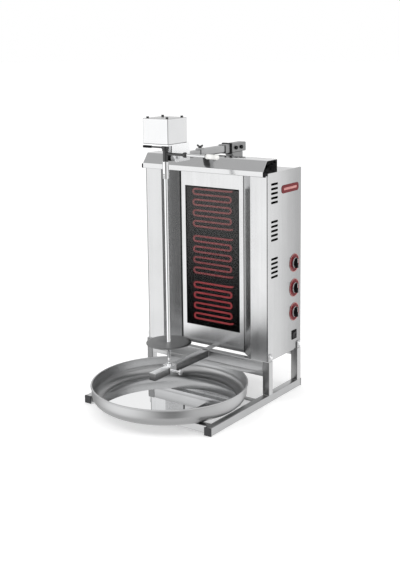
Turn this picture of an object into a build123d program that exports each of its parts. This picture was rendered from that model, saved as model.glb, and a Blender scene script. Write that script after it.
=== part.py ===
"""Doner kebab grill: an electric upright grill with three heating zones, a turning spit and a drip pan.

Built in millimetres. X runs to the operator's right, Y from the front to the back and Z up. The pieces
are drawn about the middle plane x = 0, with y = 0 at the front ends of the rails and z = 0 on the
worktop, and each is moved to the shared origin, the middle of the footprint, when it is saved.
"""
import os
from math import cos, radians, sin

from build123d import *

# Base frame
frame_width = 410.0
rail_length = 435.0
tube_size = 20.0
tube_wall = 2.0
end_cap_thickness = 3.0
end_cap_depth = 12.0
fit_gap = 0.2
overcut = 1.0
front_post_front = 267.0
rear_post_front = 414.0
cabinet_floor = 110.0
cross_member_height = 40.0
cross_member_setback = 2.0
lip_height = 11.0
lip_depth = 1.5
rear_member_height = 20.0
front_bar_front = 10.0
rear_bar_front = 213.0
tab_thickness = 2.9
tab_width = 16.0
tab_top = 130.0
tab_bolt_height = 121.0
tab_setback = 2.0
tab_bolt_radius = 3.0
bolt_clearance = 0.25
bolt_head_radius = 5.5
bolt_head_height = 3.6
nut_width = 10.0
nut_height = 5.0

# Cabinet
cabinet_inset = 5.0
cabinet_front = 271.0
cabinet_depth = 169.0
cabinet_height = 500.0
sheet = 1.2
top_recess = 4.0
hem_width = 4.5
strip_width = 54.0
recess_depth = 34.0
recess_half_width = 102.0
window_half_width = 89.0
window_bottom = 163.0
window_top = 556.0
glass_thickness = 4.0
glass_overlap = 6.0
tray_depth = 38.0
tray_border = 6.0
tray_sheet = 1.0
tray_ledge = 4.0
heat_shield_front = 372.0

# Heating elements
element_radius = 2.6
element_span = 124.5
element_centre = -7.0
element_pitch = 14.9
element_runs = 8
element_setback = 5.0
element_tops = (546.0, 414.0, 282.7)
element_turn_share = 0.497
element_leg_radius = 9.0
element_leg_length = 34.0

# Side vents
vent_front = 286.0
vent_length = 34.0
vent_height = 6.2
vent_pitch = 12.0
vent_count = 5
vent_tops = (580.0, 481.5, 383.0)

# Controls on the right side
control_line = 405.0
knob_heights = (353.0, 284.0, 217.0)
knob_radius = 14.2
knob_height = 10.0
knob_disc_height = 3.5
knob_bevel = 0.8
knob_grip_width = 8.0
knob_grip_reach = 13.4
knob_rib_width = 1.6
knob_rib_rise = 0.8
knob_stem_radius = 3.0
knob_gap = 0.4
ring_radius = 25.0
ring_bore = 5.0
ring_thickness = 1.0
regulator_width = 44.0
regulator_height = 46.0
regulator_depth = 32.0
regulator_chamfer = 2.0
stem_reach = 12.0
running_gap = 0.05
switch_centre = 152.5
switch_width = 20.0
switch_height = 21.0
switch_body_depth = 20.0
switch_flange = 1.6
switch_wall = 2.0
rocker_pivot_depth = 5.0
rocker_tilt = 7.0
rocker_reach = 9.0
rocker_gap = 0.4
rocker_pin_radius = 1.5
badge_front = 338.0
badge_length = 88.0
badge_bottom = 549.5
badge_height = 22.0
badge_thickness = 1.0

# Electrical entry
gland_inset = 55.0
gland_z = 160.0
gland_bore = 4.6
gland_body = 10.0
gland_flange = 12.5
gland_outside = 16.0
gland_nut = 6.0
terminal_length = 50.0
terminal_depth = 24.0
terminal_height = 20.0
terminal_centre_y = 408.0

# Hood over the front edge
hood_front = 254.0
hood_lip_bottom = 602.0
hood_lip_height = 14.0
hood_lip_return = 8.0
hood_top = 643.0
hood_slope = 21.0
hood_back = 325.0
hood_foot = 14.0
plug_thickness = 5.0
plug_height = 12.0

# Upper arm
arm_centre = 655.0
outer_tube_front = 246.0
outer_tube_wall = 1.5
inner_tube_front = 117.0
inner_tube_back = 380.0
inner_tube_wall = 1.8
sleeve_size = 25.0
sleeve_front = 357.0
sleeve_back = 456.0
stand_top_front = 385.0
stand_foot_front = 424.0
stand_flange = 18.0
stand_sheet = 2.5
band_front = 377.0
band_width = 8.0
band_thickness = 2.0
sleeve_bolts_at = (406.0, 432.0)
sleeve_bolt_radius = 3.0
sleeve_bolt_head = 5.5
sleeve_bolt_head_height = 4.0
boss_length = 16.0
boss_height = 3.0
wing_bolt_radius = 3.0
wing_hub_radius = 4.5
wing_hub_height = 5.0
wing_span = 19.0
wing_rise = 4.2
wing_thickness = 2.4

# Drive head
spit_y = 105.0
base_plate_size = 79.0
base_plate_thickness = 3.0
base_plate_rise = 36.0
cheek_thickness = 3.0
cheek_back = 193.0
cheek_drop = 12.0
cheek_chamfer = 20.0
bracket_bolts_at = (142.0, 176.0)
bracket_bolt_radius = 3.0
bracket_bolt_head = 3.0
cover_height = 64.0
cover_screw_inset = 9.0
cover_screw_radius = 2.0
cover_screw_head = 3.5
cover_screw_head_height = 4.0
gearbox_size = 58.0
gearbox_height = 22.0
motor_radius = 24.0
motor_height = 36.0
housing_radius = 6.6
housing_length = 44.0
housing_flange_radius = 12.0
housing_flange_height = 3.0
housing_collar_radius = 8.2
housing_collar_drop = 13.0
housing_collar_height = 4.0
handle_rise = 20.0
handle_arm_radius = 3.5
handle_pivot_x = 61.0
ball_radius = 7.0
tongue_thickness = 4.0
tongue_radius = 4.5
pivot_pin_radius = 1.5
handle_rod_radius = 3.6
handle_rod_end = 158.0
grip_start = 125.0
grip_end = 162.0
grip_radius = 6.2
lever_hub_radius = 9.4
lever_hub_height = 8.0
lever_rod_radius = 2.3
lever_reach = 71.0
lever_sleeve_length = 27.0
lever_sleeve_radius = 3.4

# Spit
shaft_radius = 5.0
shaft_into_gearbox = 12.0
shaft_bottom = 628.0
shaft_chamfer = 0.5
socket_radius = 8.0
socket_length = 43.0
socket_gap = 0.5
socket_slot_width = 4.0
socket_slot_height = 13.0
spit_radius = 5.0
spit_top = 627.0
spit_shoulder = 133.0
spit_tip_radius = 3.5
cross_pin_radius = 1.5
cross_pin_drop = 8.0
disc_radius = 59.0
disc_top = 176.0
disc_thickness = 2.5
disc_edge = 5.0
disc_rim = 1.0
collar_radius = 11.0
collar_height = 18.0
slide_fit = 0.05

# Lower bearing
arm_bottom = 91.0
lower_arm_front = 34.0
arm_lap_back = 303.0
shoe_length = 26.0
shoe_wall = 2.7
shoe_skirt = 18.0
shoe_gap = 0.3
boss_radius = 6.5
boss_rise = 9.0
boss_floor = 1.8
thumb_radius = 3.0
thumb_reach = 34.0
thumb_head_radius = 7.0
thumb_head_height = 5.0
thumb_chamfer = 0.8
thumb_drop = 11.0

# Drip pan
pan_radius = 203.6
pan_foot_radius = 28.6
pan_height = 49.0
pan_bead_radius = 2.4
pan_sheet = 1.2
pan_gap = 0.3

# Places worked out from the sizes above
rail_outer = frame_width / 2
rail_inner = rail_outer - tube_size
cabinet_width = frame_width - 2 * cabinet_inset
half_cabinet = cabinet_width / 2
pan_floor_radius = pan_radius - pan_foot_radius
panel_inner = half_cabinet - sheet
cabinet_back = cabinet_front + cabinet_depth
hood_width = cabinet_width - 2 * plug_thickness
gland_x = half_cabinet - gland_inset
cabinet_top = cabinet_floor + cabinet_height
roof_top = cabinet_top - top_recess
wall_bottom = cabinet_floor + sheet
wall_top = roof_top - sheet
strip_inner = half_cabinet - strip_width
recess_front = cabinet_front + recess_depth
glass_front = recess_front + sheet + fit_gap
glass_back = glass_front + glass_thickness
tray_back = recess_front + sheet + tray_depth
element_plane = glass_back + element_setback
element_left = element_centre - element_span / 2
element_right = element_centre + element_span / 2
post_lines = (front_post_front + tube_size / 2, rear_post_front + tube_size / 2)
bolt_lines = tuple(line + tab_setback for line in post_lines)
tab_inner = half_cabinet + fit_gap / 2
tab_outer = tab_inner + tab_thickness
cross_member_front = front_post_front + cross_member_setback
arm_top = arm_bottom + tube_size
half_tube = tube_size / 2
half_inner_tube = half_tube - outer_tube_wall - fit_gap
base_plate_bottom = arm_centre + base_plate_rise
base_plate_top = base_plate_bottom + base_plate_thickness
cheek_bottom = arm_centre - cheek_drop
housing_bottom = base_plate_bottom - housing_length
housing_collar_top = base_plate_bottom - housing_collar_drop
handle_height = housing_bottom + handle_rise
shaft_top = base_plate_top + shaft_into_gearbox
cover_top = base_plate_top + cover_height
half_plate = base_plate_size / 2
shoe_top = arm_top + shoe_gap + shoe_wall
thumb_height = arm_top - thumb_drop
bearing_floor = arm_top + shoe_gap + boss_floor
pan_bottom = tube_size + pan_gap
knob_base = half_cabinet + ring_thickness + knob_gap
knob_face = knob_base + knob_height
rocker_pivot_x = half_cabinet - rocker_pivot_depth

# The shared origin is the middle of the footprint
left_reach = -max(tab_outer + bolt_head_height, pan_radius + pan_bead_radius)
right_reach = knob_face + knob_rib_rise
front_reach = spit_y - pan_radius - pan_bead_radius
back_reach = cabinet_back + gland_outside
origin_x = (left_reach + right_reach) / 2
origin_y = (front_reach + back_reach) / 2


def save(piece, label):
    """Moves a finished piece to the shared origin, labels it and writes its file."""
    placed = piece.part.moved(Location((-origin_x, -origin_y, 0)))
    placed.label = label
    export_step(placed, f"parts/{label}.step")


def block(x_span, y_span, z_span, mode=Mode.ADD):
    """Adds or cuts a block between two values on each axis."""
    with BuildSketch(Plane.XY.offset(z_span[0])) as base:
        with Locations(((x_span[0] + x_span[1]) / 2, (y_span[0] + y_span[1]) / 2)):
            Rectangle(x_span[1] - x_span[0], y_span[1] - y_span[0])
    extrude(base.sketch, amount=z_span[1] - z_span[0], mode=mode)


def rod(start, direction, radius, length, mode=Mode.ADD):
    """Adds or cuts a round rod from a start point along a direction."""
    with BuildSketch(Plane(origin=start, z_dir=direction)) as section:
        Circle(radius)
    extrude(section.sketch, amount=length, mode=mode)


def both_ways(half):
    """Gives the span from minus to plus a half width."""
    return (-half, half)


def rail(side, label):
    """Square tube along the worktop, open at both ends for its plastic caps."""
    x_span = (rail_inner, rail_outer) if side > 0 else (-rail_outer, -rail_inner)
    ends = (end_cap_thickness, rail_length - end_cap_thickness)
    hollow_x = (x_span[0] + tube_wall, x_span[1] - tube_wall)
    with BuildPart() as piece:
        block(x_span, ends, (0, tube_size))
        block(hollow_x, ends, (tube_wall, tube_size - tube_wall), mode=Mode.SUBTRACT)
    save(piece, label)


def rail_end_caps():
    """Four caps, each a face plate with a plug that goes into the tube."""
    plug = tube_size / 2 - tube_wall - fit_gap
    rail_line = rail_outer - tube_size / 2
    with BuildPart() as piece:
        for x in (-rail_line, rail_line):
            for face, inward in ((0, 1), (rail_length, -1)):
                plate = sorted((face, face + inward * end_cap_thickness))
                stub = sorted((face, face + inward * end_cap_depth))
                block((x - tube_size / 2, x + tube_size / 2), plate, (0, tube_size))
                block((x - plug, x + plug), stub, (tube_size / 2 - plug, tube_size / 2 + plug))
    save(piece, "rail_end_caps")


def post(side, line, label):
    """Square upright on a rail, with a strap that rises beside the cabinet and takes a bolt."""
    x_span = (rail_inner, rail_outer) if side > 0 else (-rail_outer, -rail_inner)
    y_span = (line - tube_size / 2, line + tube_size / 2)
    tab_x = sorted((side * tab_inner, side * tab_outer))
    bolt_line = line + tab_setback
    tab_y = (bolt_line - tab_width / 2, bolt_line + tab_width / 2)
    hollow_x = (x_span[0] + tube_wall, x_span[1] - tube_wall)
    hollow_y = (y_span[0] + tube_wall, y_span[1] - tube_wall)
    with BuildPart() as piece:
        block(x_span, y_span, (tube_size, cabinet_floor))
        block(hollow_x, hollow_y, (tube_size, cabinet_floor), mode=Mode.SUBTRACT)
        block(tab_x, tab_y, (cabinet_floor - tab_width, tab_top))
        block(sorted((side * tab_inner, side * rail_outer)), tab_y,
              (cabinet_floor - tab_width, cabinet_floor))
        fillet(piece.edges().filter_by(Axis.X).group_by(Axis.Z)[-1], radius=tab_width / 4)
        rod((0, bolt_line, tab_bolt_height), (side, 0, 0), tab_bolt_radius + bolt_clearance,
            frame_width, mode=Mode.SUBTRACT)
    save(piece, label)


def front_cross_member():
    """Deep box section between the front posts, with a low lip along its foot."""
    y_span = (cross_member_front, front_post_front + tube_size)
    bottom = cabinet_floor - cross_member_height
    with BuildPart() as piece:
        block(both_ways(rail_inner), y_span, (bottom, cabinet_floor))
        block(both_ways(rail_inner), (y_span[0] + tube_wall, y_span[1] - tube_wall),
              (bottom + tube_wall, cabinet_floor - tube_wall), mode=Mode.SUBTRACT)
        block(both_ways(rail_inner), (cross_member_front - lip_depth, cross_member_front),
              (bottom, bottom + lip_height))
    save(piece, "front_cross_member")


def rear_cross_member():
    """Square tube between the rear posts."""
    y_span = (rear_post_front, rear_post_front + tube_size)
    z_span = (cabinet_floor - rear_member_height, cabinet_floor)
    with BuildPart() as piece:
        block(both_ways(rail_inner), y_span, z_span)
        block(both_ways(rail_inner), (y_span[0] + tube_wall, y_span[1] - tube_wall),
              (z_span[0] + tube_wall, z_span[1] - tube_wall), mode=Mode.SUBTRACT)
    save(piece, "rear_cross_member")


def pan_bar(front, label):
    """Square tube across the rails, which the drip pan stands on."""
    y_span = (front, front + tube_size)
    with BuildPart() as piece:
        block(both_ways(rail_inner), y_span, (0, tube_size))
        block(both_ways(rail_inner), (y_span[0] + tube_wall, y_span[1] - tube_wall),
              (tube_wall, tube_size - tube_wall), mode=Mode.SUBTRACT)
    save(piece, label)


def lower_arm():
    """Square tube that reaches forward over the pan, its top wall lapped over the front cross member."""
    y_span = (lower_arm_front, cross_member_front)
    hollow = half_tube - outer_tube_wall
    with BuildPart() as piece:
        block(both_ways(half_tube), y_span, (arm_bottom, arm_top))
        block(both_ways(hollow), (y_span[0] + tube_wall, y_span[1]),
              (arm_bottom + outer_tube_wall, arm_top - outer_tube_wall), mode=Mode.SUBTRACT)
        block(both_ways(half_tube), (cross_member_front, arm_lap_back), (cabinet_floor, arm_top))
    save(piece, "lower_arm")


def post_bolts():
    """Dome bolts through the post straps and the cabinet sides, with nuts inside."""
    shank_inner = panel_inner - nut_height
    with BuildPart() as piece:
        for side in (-1, 1):
            for line in bolt_lines:
                rod((side * shank_inner, line, tab_bolt_height), (side, 0, 0), tab_bolt_radius,
                    tab_outer - shank_inner)
                with BuildSketch(Plane(origin=(side * tab_outer, line, tab_bolt_height),
                                       z_dir=(side, 0, 0))) as head:
                    Circle(bolt_head_radius)
                extrude(head.sketch, amount=bolt_head_height, taper=25)
                with BuildSketch(Plane(origin=(side * shank_inner, line, tab_bolt_height),
                                       z_dir=(side, 0, 0))) as nut:
                    RegularPolygon(nut_width / 2, 6, major_radius=False)
                extrude(nut.sketch, amount=nut_height)
    save(piece, "post_bolts")


def side_panel(side, label, controls=False):
    """Flat side of the cabinet with a hem along its top, vents and, on the right, the control holes."""
    inner = side * panel_inner
    outer = side * half_cabinet
    x_span = sorted((inner, outer))
    y_span = (cabinet_front, cabinet_back)
    cut_start = side * (panel_inner - overcut)
    cut_length = sheet + 2 * overcut
    with BuildPart() as piece:
        block(x_span, y_span, (cabinet_floor, cabinet_top))
        block(sorted((side * (half_cabinet - hem_width), outer)), y_span,
              (cabinet_top - sheet, cabinet_top))
        for line in bolt_lines:
            rod((cut_start, line, tab_bolt_height), (side, 0, 0), tab_bolt_radius + bolt_clearance,
                cut_length, mode=Mode.SUBTRACT)
        with BuildSketch(Plane(origin=(cut_start, 0, 0), x_dir=(0, 1, 0), z_dir=(side, 0, 0))) as slots:
            for top in vent_tops:
                for step in range(vent_count):
                    height = top - step * vent_pitch
                    with Locations((vent_front + vent_length / 2, side * height)):
                        SlotOverall(vent_length, vent_height)
        extrude(slots.sketch, amount=cut_length, mode=Mode.SUBTRACT)
        if controls:
            for height in knob_heights:
                rod((cut_start, control_line, height), (side, 0, 0), ring_bore, cut_length,
                    mode=Mode.SUBTRACT)
            block((panel_inner - overcut, half_cabinet + overcut),
                  (control_line - switch_width / 2, control_line + switch_width / 2),
                  (switch_centre - switch_height / 2, switch_centre + switch_height / 2),
                  mode=Mode.SUBTRACT)
    save(piece, label)


def rear_panel():
    """Flat back of the cabinet, with the hole of the cable gland."""
    with BuildPart() as piece:
        block(both_ways(panel_inner), (cabinet_back - sheet, cabinet_back), (wall_bottom, wall_top))
        rod((gland_x, cabinet_back - sheet - overcut, gland_z), (0, 1, 0), gland_body,
            sheet + 2 * overcut, mode=Mode.SUBTRACT)
    save(piece, "rear_panel")


def bottom_panel():
    """Floor of the cabinet, cut to the outline of the recess."""
    with BuildPart() as piece:
        with BuildSketch(Plane.XY.offset(cabinet_floor)):
            with BuildLine():
                Polyline(
                    (-panel_inner, cabinet_front),
                    (-strip_inner, cabinet_front),
                    (-recess_half_width, recess_front),
                    (recess_half_width, recess_front),
                    (strip_inner, cabinet_front),
                    (panel_inner, cabinet_front),
                    (panel_inner, cabinet_back),
                    (-panel_inner, cabinet_back),
                    close=True,
                )
            make_face()
        extrude(amount=sheet)
    save(piece, "bottom_panel")


def top_panel():
    """Roof of the cabinet, a little below the hems of the sides."""
    with BuildPart() as piece:
        block(both_ways(panel_inner), (cabinet_front, cabinet_back), (wall_top, roof_top))
    save(piece, "top_panel")


def wing_panel(side, label):
    """Flat front strip that turns in at an angle to the back of the recess."""
    with BuildPart() as piece:
        with BuildSketch(Plane.XY.offset(wall_bottom)):
            with BuildLine():
                bend = Polyline(
                    (side * panel_inner, cabinet_front),
                    (side * strip_inner, cabinet_front),
                    (side * (recess_half_width + sheet), recess_front),
                )
                offset(bend, amount=sheet, side=Side.RIGHT if side > 0 else Side.LEFT)
            make_face()
        extrude(amount=wall_top - wall_bottom)
    save(piece, label)


def centre_panel():
    """Back wall of the recess with the opening for the window."""
    with BuildPart() as piece:
        block(both_ways(recess_half_width), (recess_front, recess_front + sheet), (wall_bottom, wall_top))
        block(both_ways(window_half_width), (recess_front - overcut, recess_front + sheet + overcut),
              (window_bottom, window_top), mode=Mode.SUBTRACT)
    save(piece, "centre_panel")


def glass_pane():
    """Heat resistant window behind the centre panel."""
    half_width = window_half_width + glass_overlap
    with BuildPart() as piece:
        block(both_ways(half_width), (glass_front, glass_back),
              (window_bottom - glass_overlap, window_top + glass_overlap))
        fillet(piece.edges().filter_by(Axis.Y), radius=glass_overlap / 2)
    save(piece, "glass_pane")


def element_tray():
    """Open tray behind the glass, with ledges that hold the pane and holes for the element legs."""
    half_width = recess_half_width - fit_gap
    front = recess_front + sheet
    bottom = window_bottom - glass_overlap - tray_border
    top = window_top + glass_overlap + tray_border
    inner_half = half_width - tray_sheet
    ledge = (glass_back + fit_gap, glass_back + fit_gap + tray_sheet)
    with BuildPart() as piece:
        block(both_ways(half_width), (front, tray_back), (bottom, top))
        block(both_ways(inner_half), (front, tray_back - tray_sheet),
              (bottom + tray_sheet, top - tray_sheet), mode=Mode.SUBTRACT)
        block(both_ways(inner_half), ledge, (bottom, bottom + tray_border + tray_ledge))
        block(both_ways(inner_half), ledge, (top - tray_border - tray_ledge, top))
        for leg_height in element_leg_heights():
            rod((element_right, tray_back - tray_sheet - overcut, leg_height), (0, 1, 0),
                element_radius + fit_gap, tray_sheet + 2 * overcut, mode=Mode.SUBTRACT)
    save(piece, "element_tray")


def element_leg_heights():
    """Heights of the two legs of each element."""
    drop = (element_runs - 1) * element_pitch
    return [height for top in element_tops for height in (top, top - drop)]


def heating_element(top, label):
    """One tube that runs to and fro across the window, with both legs going back through the tray."""
    leg_end = tray_back + element_leg_length - tray_depth / 2
    corners = [(element_right, leg_end, top)]
    for run in range(element_runs):
        height = top - run * element_pitch
        ends = (element_right, element_left) if run % 2 == 0 else (element_left, element_right)
        corners += [(x, element_plane, height) for x in ends]
    corners.append((element_right, leg_end, top - (element_runs - 1) * element_pitch))
    turn = element_pitch * element_turn_share
    radii = [element_leg_radius] + [turn] * (2 * element_runs - 2) + [element_leg_radius]
    with BuildPart() as piece:
        with BuildLine() as path:
            FilletPolyline(*corners, radius=radii)
        with BuildSketch(Plane(origin=corners[0], z_dir=(0, -1, 0))):
            Circle(element_radius)
        sweep(path=path.line)
    save(piece, label)


def heat_shield():
    """Sheet wall that parts the hot front of the cabinet from the wiring behind it."""
    with BuildPart() as piece:
        block(both_ways(panel_inner), (heat_shield_front, heat_shield_front + sheet),
              (wall_bottom, wall_top))
    save(piece, "heat_shield")


def hood():
    """Folded sheet hood: a lip, a slope, a flat top and a back wall that stands on the roof."""
    lip_top = hood_lip_bottom + hood_lip_height
    with BuildPart() as piece:
        with BuildSketch(Plane.YZ.offset(-hood_width / 2)):
            with BuildLine():
                bend = Polyline(
                    (hood_front + hood_lip_return, hood_lip_bottom),
                    (hood_front, hood_lip_bottom),
                    (hood_front, lip_top),
                    (hood_front + hood_slope, hood_top),
                    (hood_back, hood_top),
                    (hood_back, roof_top),
                    (hood_back - hood_foot, roof_top),
                )
                offset(bend, amount=sheet, side=Side.RIGHT)
            make_face()
        extrude(amount=hood_width)
    save(piece, "hood")


def hood_plugs():
    """Black plugs in the two ends of the hood's lip."""
    with BuildPart() as piece:
        for side in (-1, 1):
            inner = side * hood_width / 2
            outer = side * (hood_width / 2 + plug_thickness)
            block(sorted((inner, outer)), (hood_front, hood_front + hood_lip_return),
                  (hood_lip_bottom, hood_lip_bottom + plug_height))
    save(piece, "hood_plugs")


def badge_plate():
    """Bare plate with rounded corners near the top of the right side."""
    with BuildPart() as piece:
        with BuildSketch(Plane.YZ.offset(half_cabinet)):
            with Locations((badge_front + badge_length / 2, badge_bottom + badge_height / 2)):
                RectangleRounded(badge_length, badge_height, badge_height / 4)
        extrude(amount=badge_thickness)
        fillet(piece.faces().sort_by(Axis.X)[-1].edges(), radius=badge_thickness / 3)
    save(piece, "badge_plate")


def dial_rings():
    """Three thin rings behind the knobs."""
    with BuildPart() as piece:
        for height in knob_heights:
            with BuildSketch(Plane.YZ.offset(half_cabinet)) as ring:
                with Locations((control_line, height)):
                    Circle(ring_radius)
                    Circle(ring_bore, mode=Mode.SUBTRACT)
            extrude(ring.sketch, amount=ring_thickness)
    save(piece, "dial_rings")


def energy_regulators():
    """Three regulators behind the right side, each with a bore for its knob's stem."""
    y_span = (control_line - regulator_width / 2, control_line + regulator_width / 2)
    x_span = (panel_inner - regulator_depth, panel_inner)
    with BuildPart() as piece:
        for height in knob_heights:
            block(x_span, y_span, (height - regulator_height / 2, height + regulator_height / 2))
            rod((knob_base - knob_stem_reach() - overcut, control_line, height), (1, 0, 0),
                knob_stem_radius + running_gap, knob_stem_reach() + overcut, mode=Mode.SUBTRACT)
        chamfer(piece.faces().sort_by(Axis.X)[0:3].edges(), length=regulator_chamfer)
    save(piece, "energy_regulators")


def knob_stem_reach():
    """Length of a knob's stem from the knob's foot into the regulator."""
    return knob_base - panel_inner + stem_reach


def knob(height, label):
    """Bevelled disc with a bar grip across its face, a pointer rib on the bar and a stem."""
    with BuildPart() as piece:
        rod((knob_base, control_line, height), (1, 0, 0), knob_radius, knob_disc_height)
        chamfer(piece.edges().filter_by(GeomType.CIRCLE).sort_by(Axis.X)[-1], length=knob_bevel)
        block((knob_base + knob_disc_height / 2, knob_face),
              (control_line - knob_grip_width / 2, control_line + knob_grip_width / 2),
              (height - knob_grip_reach, height + knob_grip_reach))
        block((knob_base + knob_disc_height, knob_face + knob_rib_rise),
              (control_line - knob_rib_width / 2, control_line + knob_rib_width / 2),
              (height, height + knob_grip_reach - knob_bevel))
        rod((knob_base, control_line, height), (-1, 0, 0), knob_stem_radius, knob_stem_reach() - overcut)
    save(piece, label)


def switch_housing():
    """Black frame of the power switch, sunk into the right side."""
    half_width = switch_width / 2 - fit_gap
    half_height = switch_height / 2 - fit_gap
    with BuildPart() as piece:
        block((half_cabinet - switch_body_depth, half_cabinet),
              (control_line - half_width, control_line + half_width),
              (switch_centre - half_height, switch_centre + half_height))
        block((half_cabinet, half_cabinet + switch_flange),
              (control_line - half_width - switch_wall, control_line + half_width + switch_wall),
              (switch_centre - half_height - switch_wall, switch_centre + half_height + switch_wall))
        block((rocker_pivot_x - rocker_reach, half_cabinet + switch_flange),
              (control_line - half_width + switch_wall, control_line + half_width - switch_wall),
              (switch_centre - half_height + rocker_gap, switch_centre + half_height - rocker_gap),
              mode=Mode.SUBTRACT)
    save(piece, "switch_housing")


def switch_rocker():
    """Rocker with a shallow valley across its face, drawn tilted to its lower stop, on a pivot pin."""
    half_width = switch_width / 2 - fit_gap - switch_wall - rocker_gap
    tilted = Plane(origin=(rocker_pivot_x, control_line - half_width, switch_centre),
                   x_dir=(cos(radians(rocker_tilt)), 0, -sin(radians(rocker_tilt))), z_dir=(0, 1, 0))
    face_depth = rocker_pivot_depth + switch_flange / 2
    with BuildPart() as piece:
        with BuildSketch(tilted):
            with BuildLine():
                Polyline(
                    (-rocker_pivot_depth / 2, -rocker_reach / 2),
                    (face_depth + switch_flange, -rocker_reach + rocker_gap),
                    (face_depth, 0),
                    (face_depth + switch_flange, rocker_reach - rocker_gap),
                    (-rocker_pivot_depth / 2, rocker_reach / 2),
                    close=True,
                )
            make_face()
        extrude(amount=2 * half_width)
        rod((rocker_pivot_x, control_line - half_width - rocker_gap * 0.75, switch_centre), (0, 1, 0),
            rocker_pin_radius, 2 * half_width + rocker_gap * 1.5)
    save(piece, "switch_rocker")


def terminal_block():
    """Row of mains terminals on the cabinet floor."""
    with BuildPart() as piece:
        block((gland_x - terminal_length / 2, gland_x + terminal_length / 2),
              (terminal_centre_y - terminal_depth / 2, terminal_centre_y + terminal_depth / 2),
              (wall_bottom, wall_bottom + terminal_height))
        with BuildSketch(Plane.XY.offset(wall_bottom + terminal_height)) as wells:
            with Locations((gland_x, terminal_centre_y)):
                with GridLocations(terminal_length / 4, terminal_depth / 2, 4, 2):
                    Circle(terminal_depth / 8)
        extrude(wells.sketch, amount=-terminal_height / 2, mode=Mode.SUBTRACT)
    save(piece, "terminal_block")


def cable_gland():
    """Gland with a nut inside the rear panel and a domed cap outside, with its bore right through."""
    inside = sheet + gland_nut
    with BuildPart() as piece:
        rod((gland_x, cabinet_back - inside, gland_z), (0, 1, 0), gland_flange, gland_nut)
        rod((gland_x, cabinet_back - inside, gland_z), (0, 1, 0), gland_body - fit_gap, inside)
        with BuildSketch(Plane(origin=(gland_x, cabinet_back, gland_z), z_dir=(0, 1, 0))) as cap:
            RegularPolygon(gland_flange, 6, major_radius=True)
        extrude(cap.sketch, amount=gland_outside / 2)
        with BuildSketch(Plane(origin=(gland_x, cabinet_back + gland_outside / 2, gland_z),
                               z_dir=(0, 1, 0))) as dome:
            Circle(gland_body)
        extrude(dome.sketch, amount=gland_outside / 2, taper=15)
        rod((gland_x, cabinet_back - inside, gland_z), (0, 1, 0), gland_bore,
            inside + gland_outside, mode=Mode.SUBTRACT)
    save(piece, "cable_gland")


def arm_stand():
    """Leaning box gusset at the back of the roof, with a foot plate, which carries the sleeve."""
    half = sleeve_size / 2
    top = arm_centre - half
    with BuildPart() as piece:
        with BuildSketch(Plane.YZ.offset(-half)):
            with BuildLine():
                Polyline(
                    (stand_top_front, top),
                    (cabinet_back, top),
                    (cabinet_back, roof_top),
                    (stand_foot_front, roof_top),
                    close=True,
                )
            make_face()
        extrude(amount=sleeve_size)
        block(both_ways(half + stand_flange), (stand_foot_front - stand_flange, cabinet_back),
              (roof_top, roof_top + stand_sheet))
    save(piece, "arm_stand")


def arm_sleeve():
    """Square sleeve on the stand that grips the outer arm tube."""
    half = sleeve_size / 2
    hollow = half_tube + fit_gap
    with BuildPart() as piece:
        block(both_ways(half), (sleeve_front, sleeve_back), (arm_centre - half, arm_centre + half))
        block(both_ways(hollow), (sleeve_front, sleeve_back), (arm_centre - hollow, arm_centre + hollow),
              mode=Mode.SUBTRACT)
        for line in sleeve_bolts_at:
            rod((half_tube, line, arm_centre), (1, 0, 0), sleeve_bolt_radius + bolt_clearance,
                sleeve_size, mode=Mode.SUBTRACT)
    save(piece, "arm_sleeve")


def sleeve_clamp():
    """Band round the front of the sleeve and two bolts in its right side."""
    half = sleeve_size / 2 + fit_gap / 2
    outside = half + band_thickness
    y_span = (band_front, band_front + band_width)
    shank_start = half_tube + fit_gap / 2
    with BuildPart() as piece:
        block(both_ways(outside), y_span, (arm_centre - outside, arm_centre + outside))
        block(both_ways(half), y_span, (arm_centre - half, arm_centre + half), mode=Mode.SUBTRACT)
        for line in sleeve_bolts_at:
            rod((shank_start, line, arm_centre), (1, 0, 0), sleeve_bolt_radius,
                sleeve_size / 2 - shank_start)
            with BuildSketch(Plane(origin=(sleeve_size / 2, line, arm_centre), z_dir=(1, 0, 0))) as head:
                RegularPolygon(sleeve_bolt_head, 6)
            extrude(head.sketch, amount=sleeve_bolt_head_height)
    save(piece, "sleeve_clamp")


def outer_arm_tube():
    """Fixed outer tube of the upper arm, with a threaded boss for the wing bolt near its front."""
    hollow = half_tube - outer_tube_wall
    y_span = (outer_tube_front, cabinet_back)
    boss_y = outer_tube_front + boss_length / 2
    with BuildPart() as piece:
        block(both_ways(half_tube), y_span, (arm_centre - half_tube, arm_centre + half_tube))
        block(both_ways(hollow), y_span, (arm_centre - hollow, arm_centre + hollow), mode=Mode.SUBTRACT)
        block(both_ways(boss_length / 2), (outer_tube_front, outer_tube_front + boss_length),
              (arm_centre + half_tube, arm_centre + half_tube + boss_height))
        rod((0, boss_y, arm_centre + hollow - overcut), (0, 0, 1), wing_bolt_radius + running_gap,
            outer_tube_wall + boss_height + 2 * overcut, mode=Mode.SUBTRACT)
    save(piece, "outer_arm_tube")


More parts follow.
